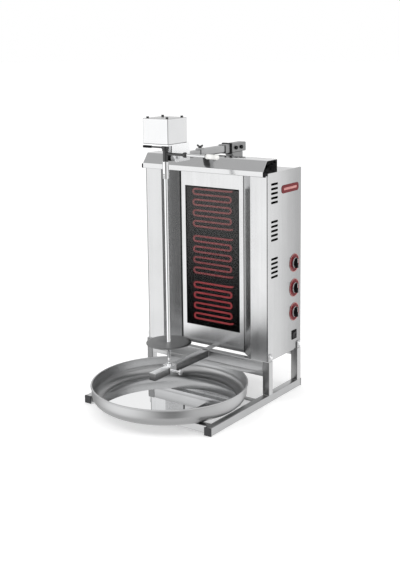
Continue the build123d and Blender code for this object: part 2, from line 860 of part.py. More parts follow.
def wing_bolt():
    """Bolt with two wings that locks the inner tube."""
    line = outer_tube_front + boss_length / 2
    tip = arm_centre + half_inner_tube + fit_gap
    foot = arm_centre + half_tube + boss_height + shoe_gap
    with BuildPart() as piece:
        rod((0, line, tip), (0, 0, 1), wing_bolt_radius, foot - tip)
        rod((0, line, foot), (0, 0, 1), wing_hub_radius, wing_hub_height)
        with BuildSketch(Plane.XZ.offset(-(line - wing_thickness / 2))) as wings:
            for side in (-1, 1):
                with BuildLine():
                    Polyline(
                        (0, foot + wing_thickness / 2),
                        (side * wing_span / 4, foot + wing_thickness / 2),
                        (side * wing_span / 2, foot + wing_rise),
                        (side * wing_span / 2, foot + 2 * wing_rise),
                        (side * wing_span / 3, foot + 2 * wing_rise),
                        (0, foot + wing_hub_height - wing_thickness / 2),
                        close=True,
                    )
                make_face()
        extrude(wings.sketch, amount=-wing_thickness)
    save(piece, "wing_bolt")


def inner_arm_tube():
    """Sliding inner tube of the upper arm, which carries the drive head."""
    outer = half_inner_tube
    hollow = half_inner_tube - inner_tube_wall
    y_span = (inner_tube_front, inner_tube_back)
    with BuildPart() as piece:
        block(both_ways(outer), y_span, (arm_centre - outer, arm_centre + outer))
        block(both_ways(hollow), y_span, (arm_centre - hollow, arm_centre + hollow), mode=Mode.SUBTRACT)
        for line in bracket_bolts_at:
            rod((-half_tube, line, arm_centre), (1, 0, 0), bracket_bolt_radius + bolt_clearance,
                tube_size, mode=Mode.SUBTRACT)
    save(piece, "inner_arm_tube")


def motor_bracket():
    """Base plate of the drive head with two cheeks that hold the end of the inner tube."""
    inner = half_inner_tube + fit_gap / 2
    outer = inner + cheek_thickness
    with BuildPart() as piece:
        block(both_ways(half_plate), (spit_y - half_plate, spit_y + half_plate),
              (base_plate_bottom, base_plate_top))
        for x_span in ((-outer, -inner), (inner, outer)):
            with BuildSketch(Plane.YZ.offset(x_span[0])) as cheek:
                with BuildLine():
                    Polyline(
                        (inner_tube_front, base_plate_bottom),
                        (cheek_back, base_plate_bottom),
                        (cheek_back, cheek_bottom),
                        (inner_tube_front + cheek_chamfer, cheek_bottom),
                        (inner_tube_front, cheek_bottom + cheek_chamfer),
                        close=True,
                    )
                make_face()
            extrude(cheek.sketch, amount=cheek_thickness)
        for line in bracket_bolts_at:
            rod((-outer - overcut, line, arm_centre), (1, 0, 0), bracket_bolt_radius + bolt_clearance,
                2 * (outer + overcut), mode=Mode.SUBTRACT)
        rod((0, spit_y, base_plate_bottom - overcut), (0, 0, 1), shaft_radius + slide_fit + fit_gap,
            base_plate_thickness + 2 * overcut, mode=Mode.SUBTRACT)
        for x, y in screw_places():
            rod((x, y, base_plate_bottom - overcut), (0, 0, 1), cover_screw_radius + bolt_clearance / 2,
                base_plate_thickness + 2 * overcut, mode=Mode.SUBTRACT)
    save(piece, "motor_bracket")


def screw_places():
    """Places of the four long screws near the corners of the motor cover."""
    reach = half_plate - cover_screw_inset
    return [(sx * reach, spit_y + sy * reach) for sx in (-1, 1) for sy in (-1, 1)]


def gear_motor():
    """Motor standing on its gearbox, with a bore for the drive shaft."""
    half = gearbox_size / 2
    with BuildPart() as piece:
        block(both_ways(half), (spit_y - half, spit_y + half),
              (base_plate_top, base_plate_top + gearbox_height))
        chamfer(piece.edges().filter_by(Axis.Z), length=cover_screw_inset)
        rod((0, spit_y, base_plate_top + gearbox_height), (0, 0, 1), motor_radius, motor_height)
        rod((0, spit_y, base_plate_top), (0, 0, 1), shaft_radius + slide_fit,
            shaft_top + overcut - base_plate_top, mode=Mode.SUBTRACT)
    save(piece, "gear_motor")


def motor_cover():
    """Polished box over the motor, open below."""
    inner = half_plate - sheet
    with BuildPart() as piece:
        block(both_ways(half_plate), (spit_y - half_plate, spit_y + half_plate), (base_plate_top, cover_top))
        fillet(piece.edges().filter_by(Axis.Z), radius=sheet)
        block(both_ways(inner), (spit_y - inner, spit_y + inner), (base_plate_top, cover_top - sheet),
              mode=Mode.SUBTRACT)
        for x, y in screw_places():
            rod((x, y, cover_top - sheet - overcut), (0, 0, 1), cover_screw_radius + bolt_clearance / 2,
                sheet + 2 * overcut, mode=Mode.SUBTRACT)
    save(piece, "motor_cover")


def head_screws():
    """Four long screws down through the motor cover and two bolts through the bracket's cheeks."""
    outer = half_inner_tube + fit_gap / 2 + cheek_thickness
    with BuildPart() as piece:
        for x, y in screw_places():
            rod((x, y, base_plate_bottom), (0, 0, 1), cover_screw_radius, cover_top - base_plate_bottom)
            rod((x, y, cover_top), (0, 0, 1), cover_screw_head, cover_screw_head_height)
        for line in bracket_bolts_at:
            rod((-outer, line, arm_centre), (1, 0, 0), bracket_bolt_radius, 2 * outer)
            for side in (-1, 1):
                with BuildSketch(Plane(origin=(side * outer, line, arm_centre),
                                       z_dir=(side, 0, 0))) as head:
                    RegularPolygon(sleeve_bolt_head, 6)
                extrude(head.sketch, amount=bracket_bolt_head)
    save(piece, "head_screws")


def bearing_housing():
    """Bush below the base plate, with the fixed arm and slotted ball of the folding handle."""
    with BuildPart() as piece:
        rod((0, spit_y, housing_bottom), (0, 0, 1), housing_radius, base_plate_bottom - housing_bottom)
        rod((0, spit_y, base_plate_bottom), (0, 0, -1), housing_flange_radius, housing_flange_height)
        rod((0, spit_y, housing_collar_top), (0, 0, -1), housing_collar_radius, housing_collar_height)
        rod((housing_radius / 2, spit_y, handle_height), (1, 0, 0), handle_arm_radius,
            handle_pivot_x - housing_radius / 2)
        with Locations((handle_pivot_x, spit_y, handle_height)):
            Sphere(ball_radius)
        slot_half = tongue_thickness / 2 + fit_gap
        block((handle_pivot_x - tongue_radius - fit_gap, handle_pivot_x + ball_radius),
              (spit_y - slot_half, spit_y + slot_half),
              (handle_height - ball_radius, handle_height + tongue_radius + fit_gap), mode=Mode.SUBTRACT)
        rod((handle_pivot_x, spit_y - slot_half, handle_height), (0, 1, 0), pivot_pin_radius, 2 * slot_half)
        rod((0, spit_y, housing_bottom), (0, 0, 1), shaft_radius + slide_fit,
            base_plate_bottom - housing_bottom, mode=Mode.SUBTRACT)
    save(piece, "bearing_housing")


def handle_rod():
    """Rod of the folding handle, with a flat tongue that turns on the pin in the ball."""
    start = handle_pivot_x + ball_radius + fit_gap
    with BuildPart() as piece:
        rod((handle_pivot_x, spit_y - tongue_thickness / 2, handle_height), (0, 1, 0), tongue_radius,
            tongue_thickness)
        block((handle_pivot_x, start + overcut),
              (spit_y - tongue_thickness / 2, spit_y + tongue_thickness / 2),
              (handle_height - handle_rod_radius, handle_height + handle_rod_radius))
        rod((start, spit_y, handle_height), (1, 0, 0), handle_rod_radius, grip_start + fit_gap - start)
        rod((grip_start, spit_y, handle_height), (1, 0, 0), handle_rod_radius / 2,
            handle_rod_end - grip_start)
        rod((handle_pivot_x, spit_y - tongue_thickness, handle_height), (0, 1, 0),
            pivot_pin_radius + slide_fit, 2 * tongue_thickness, mode=Mode.SUBTRACT)
    save(piece, "handle_rod")


def handle_grip():
    """Plastic grip pushed on the end of the handle rod."""
    with BuildPart() as piece:
        rod((grip_start + 2 * fit_gap, spit_y, handle_height), (1, 0, 0), grip_radius,
            grip_end - grip_start - 2 * fit_gap)
        fillet(piece.edges().filter_by(GeomType.CIRCLE), radius=grip_radius / 5)
        rod((grip_start, spit_y, handle_height), (1, 0, 0), handle_rod_radius / 2 + slide_fit,
            handle_rod_end + fit_gap - grip_start, mode=Mode.SUBTRACT)
    save(piece, "handle_grip")


def lock_lever():
    """Lever with a hub round the bearing housing and a sleeve on its end."""
    hub_bottom = housing_collar_top + fit_gap
    centre = hub_bottom + lever_hub_height / 2
    with BuildPart() as piece:
        rod((0, spit_y, hub_bottom), (0, 0, 1), lever_hub_radius, lever_hub_height)
        rod((-housing_radius, spit_y, centre), (-1, 0, 0), lever_rod_radius, lever_reach - housing_radius)
        rod((-lever_reach, spit_y, centre), (1, 0, 0), lever_sleeve_radius, lever_sleeve_length)
        rod((0, spit_y, hub_bottom - overcut), (0, 0, 1), housing_radius + slide_fit,
            lever_hub_height + 2 * overcut, mode=Mode.SUBTRACT)
    save(piece, "lock_lever")


def drive_shaft():
    """Output shaft of the gear motor, down through the bearing housing into the socket."""
    with BuildPart() as piece:
        rod((0, spit_y, shaft_bottom), (0, 0, 1), shaft_radius, shaft_top - shaft_bottom)
        chamfer(piece.edges().filter_by(GeomType.CIRCLE), length=shaft_chamfer)
    save(piece, "drive_shaft")


def spit_socket():
    """Sleeve pinned to the drive shaft, slotted at its foot for the spit's cross pin."""
    top = housing_bottom - socket_gap
    bottom = top - socket_length
    with BuildPart() as piece:
        rod((0, spit_y, bottom), (0, 0, 1), socket_radius, socket_length)
        rod((0, spit_y, bottom), (0, 0, 1), shaft_radius + slide_fit, socket_length, mode=Mode.SUBTRACT)
        block(both_ways(socket_slot_width / 2), (spit_y - 2 * socket_radius, spit_y + 2 * socket_radius),
              (bottom, bottom + socket_slot_height), mode=Mode.SUBTRACT)
    save(piece, "spit_socket")


def spit_rod():
    """Long rod that holds the meat, with a cross pin near its top and a thinner tip below."""
    pin_height = housing_bottom - socket_gap - socket_length + cross_pin_drop
    tip_bottom = bearing_floor + shoe_gap
    with BuildPart() as piece:
        rod((0, spit_y, spit_shoulder), (0, 0, 1), spit_radius, spit_top - spit_shoulder)
        rod((0, spit_y, tip_bottom), (0, 0, 1), spit_tip_radius, spit_shoulder - tip_bottom)
        rod((0, spit_y - socket_radius, pin_height), (0, 1, 0), cross_pin_radius, 2 * socket_radius)
    save(piece, "spit_rod")


def meat_disc():
    """Disc that carries the meat, on a collar round the spit."""
    with BuildPart() as piece:
        with BuildSketch(Plane.XZ.offset(-spit_y)):
            with BuildLine():
                Polyline(
                    (spit_radius + slide_fit, disc_top),
                    (disc_radius - disc_edge, disc_top),
                    (disc_radius, disc_top - disc_thickness / 2),
                    (disc_radius, disc_top - disc_thickness - disc_rim),
                    (collar_radius, disc_top - disc_thickness),
                    (collar_radius, disc_top - collar_height),
                    (spit_radius + slide_fit, disc_top - collar_height),
                    close=True,
                )
            make_face()
        revolve(axis=Axis((0, spit_y, 0), (0, 0, 1)))
    save(piece, "meat_disc")


def lower_bearing():
    """Shoe that slides along the lower arm, with the cup for the spit's tip and a threaded side."""
    inner = half_tube + shoe_gap
    outer = inner + shoe_wall
    y_span = (spit_y - shoe_length / 2, spit_y + shoe_length / 2)
    with BuildPart() as piece:
        block(both_ways(outer), y_span, (shoe_top - shoe_wall - shoe_skirt, shoe_top))
        block(both_ways(inner), y_span, (shoe_top - shoe_wall - shoe_skirt, arm_top + shoe_gap),
              mode=Mode.SUBTRACT)
        rod((0, spit_y, shoe_top - shoe_wall), (0, 0, 1), boss_radius, boss_rise)
        rod((0, spit_y, bearing_floor), (0, 0, 1), spit_tip_radius + slide_fit, boss_rise + shoe_wall,
            mode=Mode.SUBTRACT)
        rod((inner - overcut, spit_y, thumb_height), (1, 0, 0), thumb_radius + slide_fit,
            shoe_wall + 2 * overcut, mode=Mode.SUBTRACT)
    save(piece, "lower_bearing")


def bearing_screw():
    """Thumb screw that locks the lower bearing on its arm."""
    start = half_tube + shoe_gap
    with BuildPart() as piece:
        rod((start, spit_y, thumb_height), (1, 0, 0), thumb_radius, thumb_reach - start)
        rod((thumb_reach, spit_y, thumb_height), (1, 0, 0), thumb_head_radius, thumb_head_height)
        chamfer(piece.edges().filter_by(GeomType.CIRCLE).sort_by(Axis.X)[-1], length=thumb_chamfer)
    save(piece, "bearing_screw")


def drip_pan():
    """Round pan with a flat floor, a rounded foot, a straight wall and a rolled rim."""
    rim_height = pan_bottom + pan_height - pan_bead_radius
    wall_inner = pan_radius - pan_sheet
    with BuildPart() as piece:
        with BuildSketch(Plane.XZ.offset(-spit_y)):
            with BuildLine():
                Line((0, pan_bottom), (pan_floor_radius, pan_bottom))
                RadiusArc((pan_floor_radius, pan_bottom),
                          (pan_radius, pan_bottom + pan_foot_radius), -pan_foot_radius)
                Line((pan_radius, pan_bottom + pan_foot_radius), (pan_radius, rim_height))
                Line((pan_radius, rim_height), (wall_inner, rim_height))
                Line((wall_inner, rim_height), (wall_inner, pan_bottom + pan_foot_radius))
                RadiusArc((wall_inner, pan_bottom + pan_foot_radius),
                          (pan_floor_radius, pan_bottom + pan_sheet), pan_foot_radius - pan_sheet)
                Line((pan_floor_radius, pan_bottom + pan_sheet), (0, pan_bottom + pan_sheet))
                Line((0, pan_bottom + pan_sheet), (0, pan_bottom))
            make_face()
            with Locations((pan_radius, rim_height)):
                Circle(pan_bead_radius)
        revolve(axis=Axis((0, spit_y, 0), (0, 0, 1)))
    save(piece, "drip_pan")


os.makedirs("parts", exist_ok=True)
rail(-1, "left_rail")
rail(1, "right_rail")
rail_end_caps()
post(-1, post_lines[0], "front_left_post")
post(1, post_lines[0], "front_right_post")
post(-1, post_lines[1], "rear_left_post")
post(1, post_lines[1], "rear_right_post")
front_cross_member()
rear_cross_member()
pan_bar(front_bar_front, "front_pan_bar")
pan_bar(rear_bar_front, "rear_pan_bar")
lower_arm()
post_bolts()
side_panel(-1, "left_side_panel")
side_panel(1, "right_side_panel", controls=True)
rear_panel()
bottom_panel()
top_panel()
wing_panel(-1, "left_wing_panel")
wing_panel(1, "right_wing_panel")
centre_panel()
glass_pane()
element_tray()
for top, zone in zip(element_tops, ("upper", "middle", "lower")):
    heating_element(top, f"{zone}_element")
heat_shield()
hood()
hood_plugs()
badge_plate()
dial_rings()
energy_regulators()
for height, zone in zip(knob_heights, ("upper", "middle", "lower")):
    knob(height, f"{zone}_knob")
switch_housing()
switch_rocker()
terminal_block()
cable_gland()
arm_stand()
arm_sleeve()
sleeve_clamp()
outer_arm_tube()
wing_bolt()
inner_arm_tube()
motor_bracket()
gear_motor()
motor_cover()
head_screws()
bearing_housing()
handle_rod()
handle_grip()
lock_lever()
drive_shaft()
spit_socket()
spit_rod()
meat_disc()
lower_bearing()
bearing_screw()
drip_pan()
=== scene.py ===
"""Doner kebab grill dressed for Blender.

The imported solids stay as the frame. The bent sheets, square tubes, turned pieces, knobs and heating tubes
are drawn again as smooth surfaces with their bends and rounded edges, and every piece gets its own finish.
Sizes are millimetres in the maker's frame: x = 0 is the middle plane, y = 0 the front ends of the rails and
z = 0 the worktop. Meshes are moved to the shared frame and to metres as they are made.
"""

import logging
import math
from dataclasses import dataclass, field
from enum import Enum

import bpy
import numpy as np
from mathutils import Matrix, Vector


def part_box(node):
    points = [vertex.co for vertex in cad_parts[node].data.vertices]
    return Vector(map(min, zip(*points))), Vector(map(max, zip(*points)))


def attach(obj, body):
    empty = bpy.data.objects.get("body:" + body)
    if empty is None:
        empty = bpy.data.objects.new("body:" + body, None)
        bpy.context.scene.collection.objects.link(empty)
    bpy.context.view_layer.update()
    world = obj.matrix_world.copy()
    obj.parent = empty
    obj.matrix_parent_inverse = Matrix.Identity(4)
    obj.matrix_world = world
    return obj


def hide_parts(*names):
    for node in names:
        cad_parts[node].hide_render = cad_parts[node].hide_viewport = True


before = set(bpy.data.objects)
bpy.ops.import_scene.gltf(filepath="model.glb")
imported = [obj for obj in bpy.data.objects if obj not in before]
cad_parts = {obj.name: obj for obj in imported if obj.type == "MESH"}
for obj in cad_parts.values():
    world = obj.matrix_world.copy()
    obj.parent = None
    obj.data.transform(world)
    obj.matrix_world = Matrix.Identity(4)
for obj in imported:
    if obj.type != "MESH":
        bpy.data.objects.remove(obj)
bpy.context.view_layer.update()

Array = np.ndarray
Socket = bpy.types.NodeSocket
Pair = tuple[float, float]
Triple = tuple[float, float, float]
MM = 0.001
SLANT = (0.31, 0.52, 0.79)
RIPPLE = 0.12
RIPPLE_PITCH = 2.4
BEVEL_FROM = 40.0
LOG = logging.getLogger("grill")
ROOT = "frame_and_cabinet"


class Run(Enum):
    """The axis that a bar, a fold or a turned piece runs along."""

    X = 0
    Y = 1
    Z = 2

    def across(self) -> tuple[int, int]:
        """Gives the two other axes in turning order."""
        return (self.value + 1) % 3, (self.value + 2) % 3


class Grain(Enum):
    """The way a metal surface is brushed."""

    X = "along x"
    Y = "along y"
    Z = "along z"
    ROUND = "round the spit"


def maker_zero() -> Array:
    """Finds the maker's zero point from the middle of the lower arm and the front of the rail caps.

    Returns:
        Its place in the shared frame, in metres.
    """
    arm_low, arm_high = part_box("lower_arm")
    caps_low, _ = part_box("rail_end_caps")
    return np.array([(arm_low.x + arm_high.x) / 2, caps_low.y, 0.0])


ZERO = maker_zero()
SPIT_Y = 105.0
SPIT_AXIS = (0.0, SPIT_Y, 0.0)


def shared(point: Triple) -> Triple:
    """Turns a point in millimetres in the maker's frame into metres in the shared frame."""
    return tuple(float(v) for v in np.asarray(point, float) * MM + ZERO)


@dataclass
class Form:
    """Points in millimetres, and the faces that join them."""

    points: Array
    faces: list[tuple[int, ...]] = field(default_factory=list)

    def __add__(self, other: "Form") -> "Form":
        """Puts two forms side by side in one.

        Args:
            other: the second form.

        Returns:
            Both forms' points and faces.
        """
        start = len(self.points)
        moved = [tuple(i + start for i in face) for face in other.faces]
        return Form(np.vstack((self.points, other.points)), self.faces + moved)

    def volume(self) -> float:
        """Adds up a . (b x c) over the triangles of each face's fan.

        Returns:
            Six times the volume, below zero if the faces point inwards.
        """
        total = 0.0
        quads = np.array([f for f in self.faces if len(f) == 4], int).reshape(-1, 4)
        for picks in ((0, 1, 2), (0, 2, 3)):
            a, b, c = (self.points[quads[:, k]] for k in picks)
            total += float(np.einsum("ij,ij->", a, np.cross(b, c)))
        for face in (f for f in self.faces if len(f) != 4):
            ring = self.points[list(face)]
            fan = np.cross(ring[1:-1], ring[2:])
            total += float((fan @ ring[0]).sum())
        return total

    def outward(self) -> "Form":
        """Turns the faces of a closed form so that they point outwards.

        Returns:
            The form itself, or one with every face reversed.
        """
        if self.volume() >= 0:
            return self
        return Form(self.points, [tuple(reversed(face)) for face in self.faces])


def rounded_path(path: Array, radius: float | Array, steps: int = 6, closed: bool = False) -> Array:
    """Rounds the corners of a path of straight runs.

    At a corner P, with unit directions a in and b out that turn by t, the arc of radius r is
    P - a r tan(t/2) + r (a sin(s t) + n (1 - cos(s t))) for s from 0 to 1, where n is the unit
    vector square to a on b's side.

    Args:
        path: the corners, one row each.
        radius: one radius, or one for each corner.
        steps: parts in each arc.
        closed: whether the last corner joins the first.

    Returns:
        The rounded path's points.
    """
    path = np.asarray(path, float)
    count = len(path)
    radius = np.broadcast_to(np.asarray(radius, float), (count,)).copy()
    inward = path - np.roll(path, 1, axis=0)
    onward = np.roll(path, -1, axis=0) - path
    if not closed:
        inward[0], onward[-1] = onward[0], inward[-1]
        radius[[0, -1]] = 0.0
    a = inward / np.linalg.norm(inward, axis=1, keepdims=True)
    b = onward / np.linalg.norm(onward, axis=1, keepdims=True)
    along = np.clip((a * b).sum(axis=1, keepdims=True), -1.0, 1.0)
    turn = np.arccos(along)
    square = b - a * along
    square /= np.maximum(np.linalg.norm(square, axis=1, keepdims=True), 1e-9)
    angle = (turn * np.linspace(0.0, 1.0, steps + 1))[:, :, None]
    r = radius[:, None, None]
    start = path[:, None] - a[:, None] * r * np.tan(turn / 2)[:, :, None]
    points = start + r * (a[:, None] * np.sin(angle) + square[:, None] * (1 - np.cos(angle)))
    points = points.reshape(-1, path.shape[1])
    step = np.linalg.norm(points - np.roll(points, 1, axis=0), axis=1)
    if not closed:
        step[0] = 1.0
    return points[step > 1e-6]


def sheet_loop(path: Array, radius: float, thickness: float, steps: int = 5) -> Array:
    """Gives the closed outline of a bent sheet, with the path on its right-hand face.

    The other face is the rounded path moved by the thickness along (-ty, tx), where (tx, ty) is the
    path's unit tangent.

    Args:
        path: the outer corners of the bent sheet.
        radius: the bend radius on the path.
        thickness: the sheet's thickness; a negative one puts the sheet on the other side.
        steps: parts in each bend.

    Returns:
        The outline, out along the path and back along its other face.
    """
    face = rounded_path(path, radius, steps)
    tangent = np.gradient(face, axis=0)
    tangent /= np.linalg.norm(tangent, axis=1, keepdims=True)
    other = face + thickness * np.stack((-tangent[:, 1], tangent[:, 0]), axis=1)
    return np.vstack((face, other[::-1]))


def skin(rings: Array, wrap: bool = False) -> Form:
    """Joins rings of points into a closed form.

    Quad (i, j) joins points j and j + 1 of rings i and i + 1. The first and last ring are closed with
    flat faces, or joined to each other if wrap is true.

    Args:
        rings: an array of rings by points by three.
        wrap: whether the last ring joins the first.

    Returns:
        The closed form, with its faces pointing outwards.
    """
    count, around = rings.shape[:2]
    i = np.arange(count if wrap else count - 1)[:, None]
    j = np.arange(around)[None, :]
    here, there = i * around, (i + 1) % count * around
    after = (j + 1) % around
    quads = np.stack((here + j, here + after, there + after, there + j), axis=-1).reshape(-1, 4)
    faces = [tuple(q) for q in quads.tolist()]
    if not wrap:
        last = (count - 1) * around
        faces.append(tuple(reversed(range(around))))
        faces.append(tuple(range(last, last + around)))
    return Form(rings.reshape(-1, 3), faces).outward()


def extruded(loop: Array, run: Run, span: Pair) -> Form:
    """Carries a closed flat loop straight along an axis.

    Args:
        loop: the outline across the axis.
        run: the axis.
        span: the two ends along it.

    Returns:
        The closed form.
    """
    u, v = run.across()
    rings = np.zeros((2, len(loop), 3))
    rings[:, :, u] = loop[:, 0]
    rings[:, :, v] = loop[:, 1]
    rings[:, :, run.value] = np.asarray(span)[:, None]
    return skin(rings)


def box_loop(centre: Pair, size: Pair, radius: float, steps: int = 4) -> Array:
    """Gives a rectangle's outline with rounded corners.

    Args:
        centre: the rectangle's middle.
        size: its two sides.
        radius: the radius of its corners.
        steps: parts in each corner.

    Returns:
        The closed outline.
    """
    u, v = size[0] / 2, size[1] / 2
    corners = np.array([(-u, -v), (u, -v), (u, v), (-u, v)]) + centre
    return rounded_path(corners, radius, steps, closed=True)


def bar(run: Run, span: Pair, centre: Pair, size: Pair, radius: float = 1.8) -> Form:
    """Draws a bar with rounded long edges.

    Args:
        run: the axis that it runs along.
        span: its two ends along the run.
        centre: its middle across the run.
        size: its two sides across the run.
        radius: the radius of its long edges.

    Returns:
        The bar.
    """
    return extruded(box_loop(centre, size, radius), run, span)


def open_tube(run: Run, span: Pair, centre: Pair, size: float, wall: float, radius: float = 1.8) -> Form:
    """Draws a square tube that is open at both ends.

    Its four rings are the outside at both ends and the inside at both ends, joined round in a loop.

    Args:
        run: the axis that it runs along.
        span: its two ends along the run.
        centre: its middle across the run.
        size: its outer side.
        wall: its wall.
        radius: the radius of its outer edges.

    Returns:
        The tube.
    """
    u, v = run.across()
    outside = box_loop(centre, (size, size), radius)
    inside = box_loop(centre, (size - 2 * wall, size - 2 * wall), max(radius - wall, 0.3))
    rings = np.zeros((4, len(outside), 3))
    for k, (loop, at) in enumerate(((outside, 0), (outside, 1), (inside, 1), (inside, 0))):
        rings[k, :, u], rings[k, :, v], rings[k, :, run.value] = loop[:, 0], loop[:, 1], span[at]
    return skin(rings, wrap=True)


def turned(profile: Array, run: Run, centre: Triple, around: int = 64, wrap: bool = False) -> Form:
    """Turns a profile of (radius, place along the axis) round an axis.

    Point (i, j) is centre + r_i (cos a_j u + sin a_j v) + h_i w, with a_j = 2 pi j / around.

    Args:
        profile: radius and place along the axis, one row each.
        run: the axis w; u and v are the other two.
        centre: a point on the axis, from which the places along it count.
        around: points in each ring.
        wrap: whether the profile is a closed loop.

    Returns:
        The turned form.
    """
    profile = np.asarray(profile, float)
    angle = np.linspace(0.0, 2 * math.pi, around, endpoint=False)
    u, v = run.across()
    rings = np.zeros((len(profile), around, 3))
    rings[:, :, u] = profile[:, :1] * np.cos(angle)
    rings[:, :, v] = profile[:, :1] * np.sin(angle)
    rings[:, :, run.value] = profile[:, 1:]
    return skin(rings + np.asarray(centre, float), wrap=wrap)


def rod(run: Run, span: Pair, centre: Triple, radius: float, edge: float = 0.4, around: int = 48) -> Form:
    """Draws a round rod with rounded ends.

    Args:
        run: the axis that it runs along.
        span: its two ends, counted from the centre along the run.
        centre: a point on its axis.
        radius: its radius.
        edge: the radius of its ends' edges.
        around: points in each ring.

    Returns:
        The rod.
    """
    low, high = span
    profile = [(0.01, low), (radius, low), (radius, high), (0.01, high)]
    return turned(rounded_path(profile, edge, 4), run, centre, around)


def pipe(path: Array, radius: float | Array, around: int = 12) -> Form:
    """Carries a circle along a path.

    At each point, with tangent t, the circle lies on s = t x k and t x s, where k is SLANT, a vector
    that no stretch of these paths runs along.

    Args:
        path: the points of the centre line.
        radius: one radius, or one for each point.
        around: points in each ring.

    Returns:
        The pipe with flat ends.
    """
    path = np.asarray(path, float)
    tangent = np.gradient(path, axis=0)
    tangent /= np.linalg.norm(tangent, axis=1, keepdims=True)
    side = np.cross(tangent, np.array(SLANT))
    side /= np.linalg.norm(side, axis=1, keepdims=True)
    third = np.cross(tangent, side)
    angle = np.linspace(0.0, 2 * math.pi, around, endpoint=False)
    r = np.broadcast_to(np.asarray(radius, float), (len(path),))[:, None, None]
    circle = side[:, None] * np.cos(angle)[:, None] + third[:, None] * np.sin(angle)[:, None]
    return skin(path[:, None] + r * circle)


def weld(start: Triple, end: Triple, radius: float = 1.5) -> Form:
    """Draws a weld bead: a thin pipe whose radius ripples as r (1 + 0.12 sin(2 pi s / 2.4 mm)).

    Args:
        start: the bead's start.
        end: the bead's end.
        radius: its radius r; it tapers over this length at both ends.

    Returns:
        The bead.
    """
    start, end = np.asarray(start, float), np.asarray(end, float)
    length = float(np.linalg.norm(end - start))
    s = np.linspace(0.0, 1.0, max(int(length / 0.5), 8))
    taper = np.clip(np.minimum(s, 1 - s) * length / radius, 0.35, 1.0)
    ripple = 1 + RIPPLE * np.sin(2 * math.pi * s * length / RIPPLE_PITCH)
    return pipe(start + (end - start) * s[:, None], radius * ripple * taper, 8)


def joined(forms: list[Form]) -> Form:
    """Puts forms side by side in one."""
    return sum(forms[1:], forms[0])


@dataclass
class NodeTree:
    """Short calls that add nodes to a material or to the world."""

    tree: bpy.types.NodeTree

    def fill(self, node: bpy.types.Node, inputs: dict) -> None:
        """Fills or links a node's inputs.

        Args:
            node: the node.
            inputs: input name or number to a value or to another node's output.
        """
        for socket, value in inputs.items():
            if isinstance(value, bpy.types.NodeSocket):
                self.tree.links.new(value, node.inputs[socket])
            else:
                node.inputs[socket].default_value = value

    def add(self, kind: str, inputs: dict | None = None, **settings: object) -> bpy.types.Node:
        """Adds a node, sets its options, and fills or links its inputs.

        Args:
            kind: the node's type name without its "ShaderNode" start.
            inputs: input name or number to a value or to another node's output.
            settings: options of the node.

        Returns:
            The new node.
        """
        node = self.tree.nodes.new("ShaderNode" + kind)
        for option, value in settings.items():
            setattr(node, option, value)
        self.fill(node, inputs or {})
        return node

    def place(self) -> Socket:
        """Gives the object coordinates."""
        return self.add("TexCoord").outputs["Object"]

    def parts(self, vector: Socket) -> bpy.types.bpy_prop_collection:
        """Splits a vector into its x, y and z."""
        return self.add("SeparateXYZ", {0: vector}).outputs

    def about_spit(self, place: Socket) -> bpy.types.bpy_prop_collection:
        """Gives the distances along x, y and z from the spit's foot."""
        moved = self.add("Mapping", {0: place, "Location": tuple(-v for v in shared((0, SPIT_Y, 0)))})
        return self.parts(moved.outputs[0])

    def maths(self, operation: str, *values: object) -> Socket:
        """Adds a Math node and gives its output."""
        return self.add("Math", dict(enumerate(values)), operation=operation).outputs[0]

    def noise(self, place: Socket, scale: float, detail: float, roughness: float = 0.5) -> Socket:
        """Adds a noise texture and gives its value."""
        inputs = {"Vector": place, "Scale": scale, "Detail": detail, "Roughness": roughness}
        return self.add("TexNoise", inputs).outputs[0]

    def bump(self, height: Socket, strength: float, distance: float) -> Socket:
        """Adds a Bump node and gives its normal."""
        return self.add("Bump", {"Strength": strength, "Distance": distance, "Height": height}).outputs[0]

    def spread(self, value: Socket, low: float, high: float, to_low: float, to_high: float,
               smooth: bool = False) -> Socket:
        """Maps a value from one range to another, held at its ends.

        Args:
            value: what is mapped.
            low: the start of its range.
            high: the end of its range.
            to_low: what low becomes.
            to_high: what high becomes.
            smooth: whether the change eases in and out.

        Returns:
            The mapped value.
        """
        node = self.add("MapRange", {0: value, 1: low, 2: high, 3: to_low, 4: to_high},
                        interpolation_type="SMOOTHSTEP" if smooth else "LINEAR")
        return node.outputs[0]

    def mix(self, share: object, first: object, second: object) -> Socket:
        """Blends two colours."""
        return self.add("Mix", {0: share, 6: first, 7: second}, data_type="RGBA").outputs[2]


def colour(value: float) -> tuple[float, ...]:
    """Gives a linear grey."""
    return (value, value, value, 1.0)


def shader_of(name: str) -> tuple[bpy.types.Material, NodeTree, bpy.types.Node]:
    """Makes an empty material.

    Args:
        name: the material's name.

    Returns:
        The material, its tree and its main shader.
    """
    material = bpy.data.materials.new(name)
    material.use_nodes = True
    return material, NodeTree(material.node_tree), material.node_tree.nodes["Principled BSDF"]


@dataclass(frozen=True)
class Fade:
    """A change of brightness from one place to another along an axis, in millimetres."""

    run: Run
    start: float
    end: float
    first: float
    last: float

    def share(self, t: NodeTree, place: Socket) -> Socket:
        """Gives the brightness factor at each point."""
        low, high = (float(v * MM + ZERO[self.run.value]) for v in (self.start, self.end))
        return t.spread(t.parts(place)[self.run.value], low, high, self.first, self.last, smooth=True)


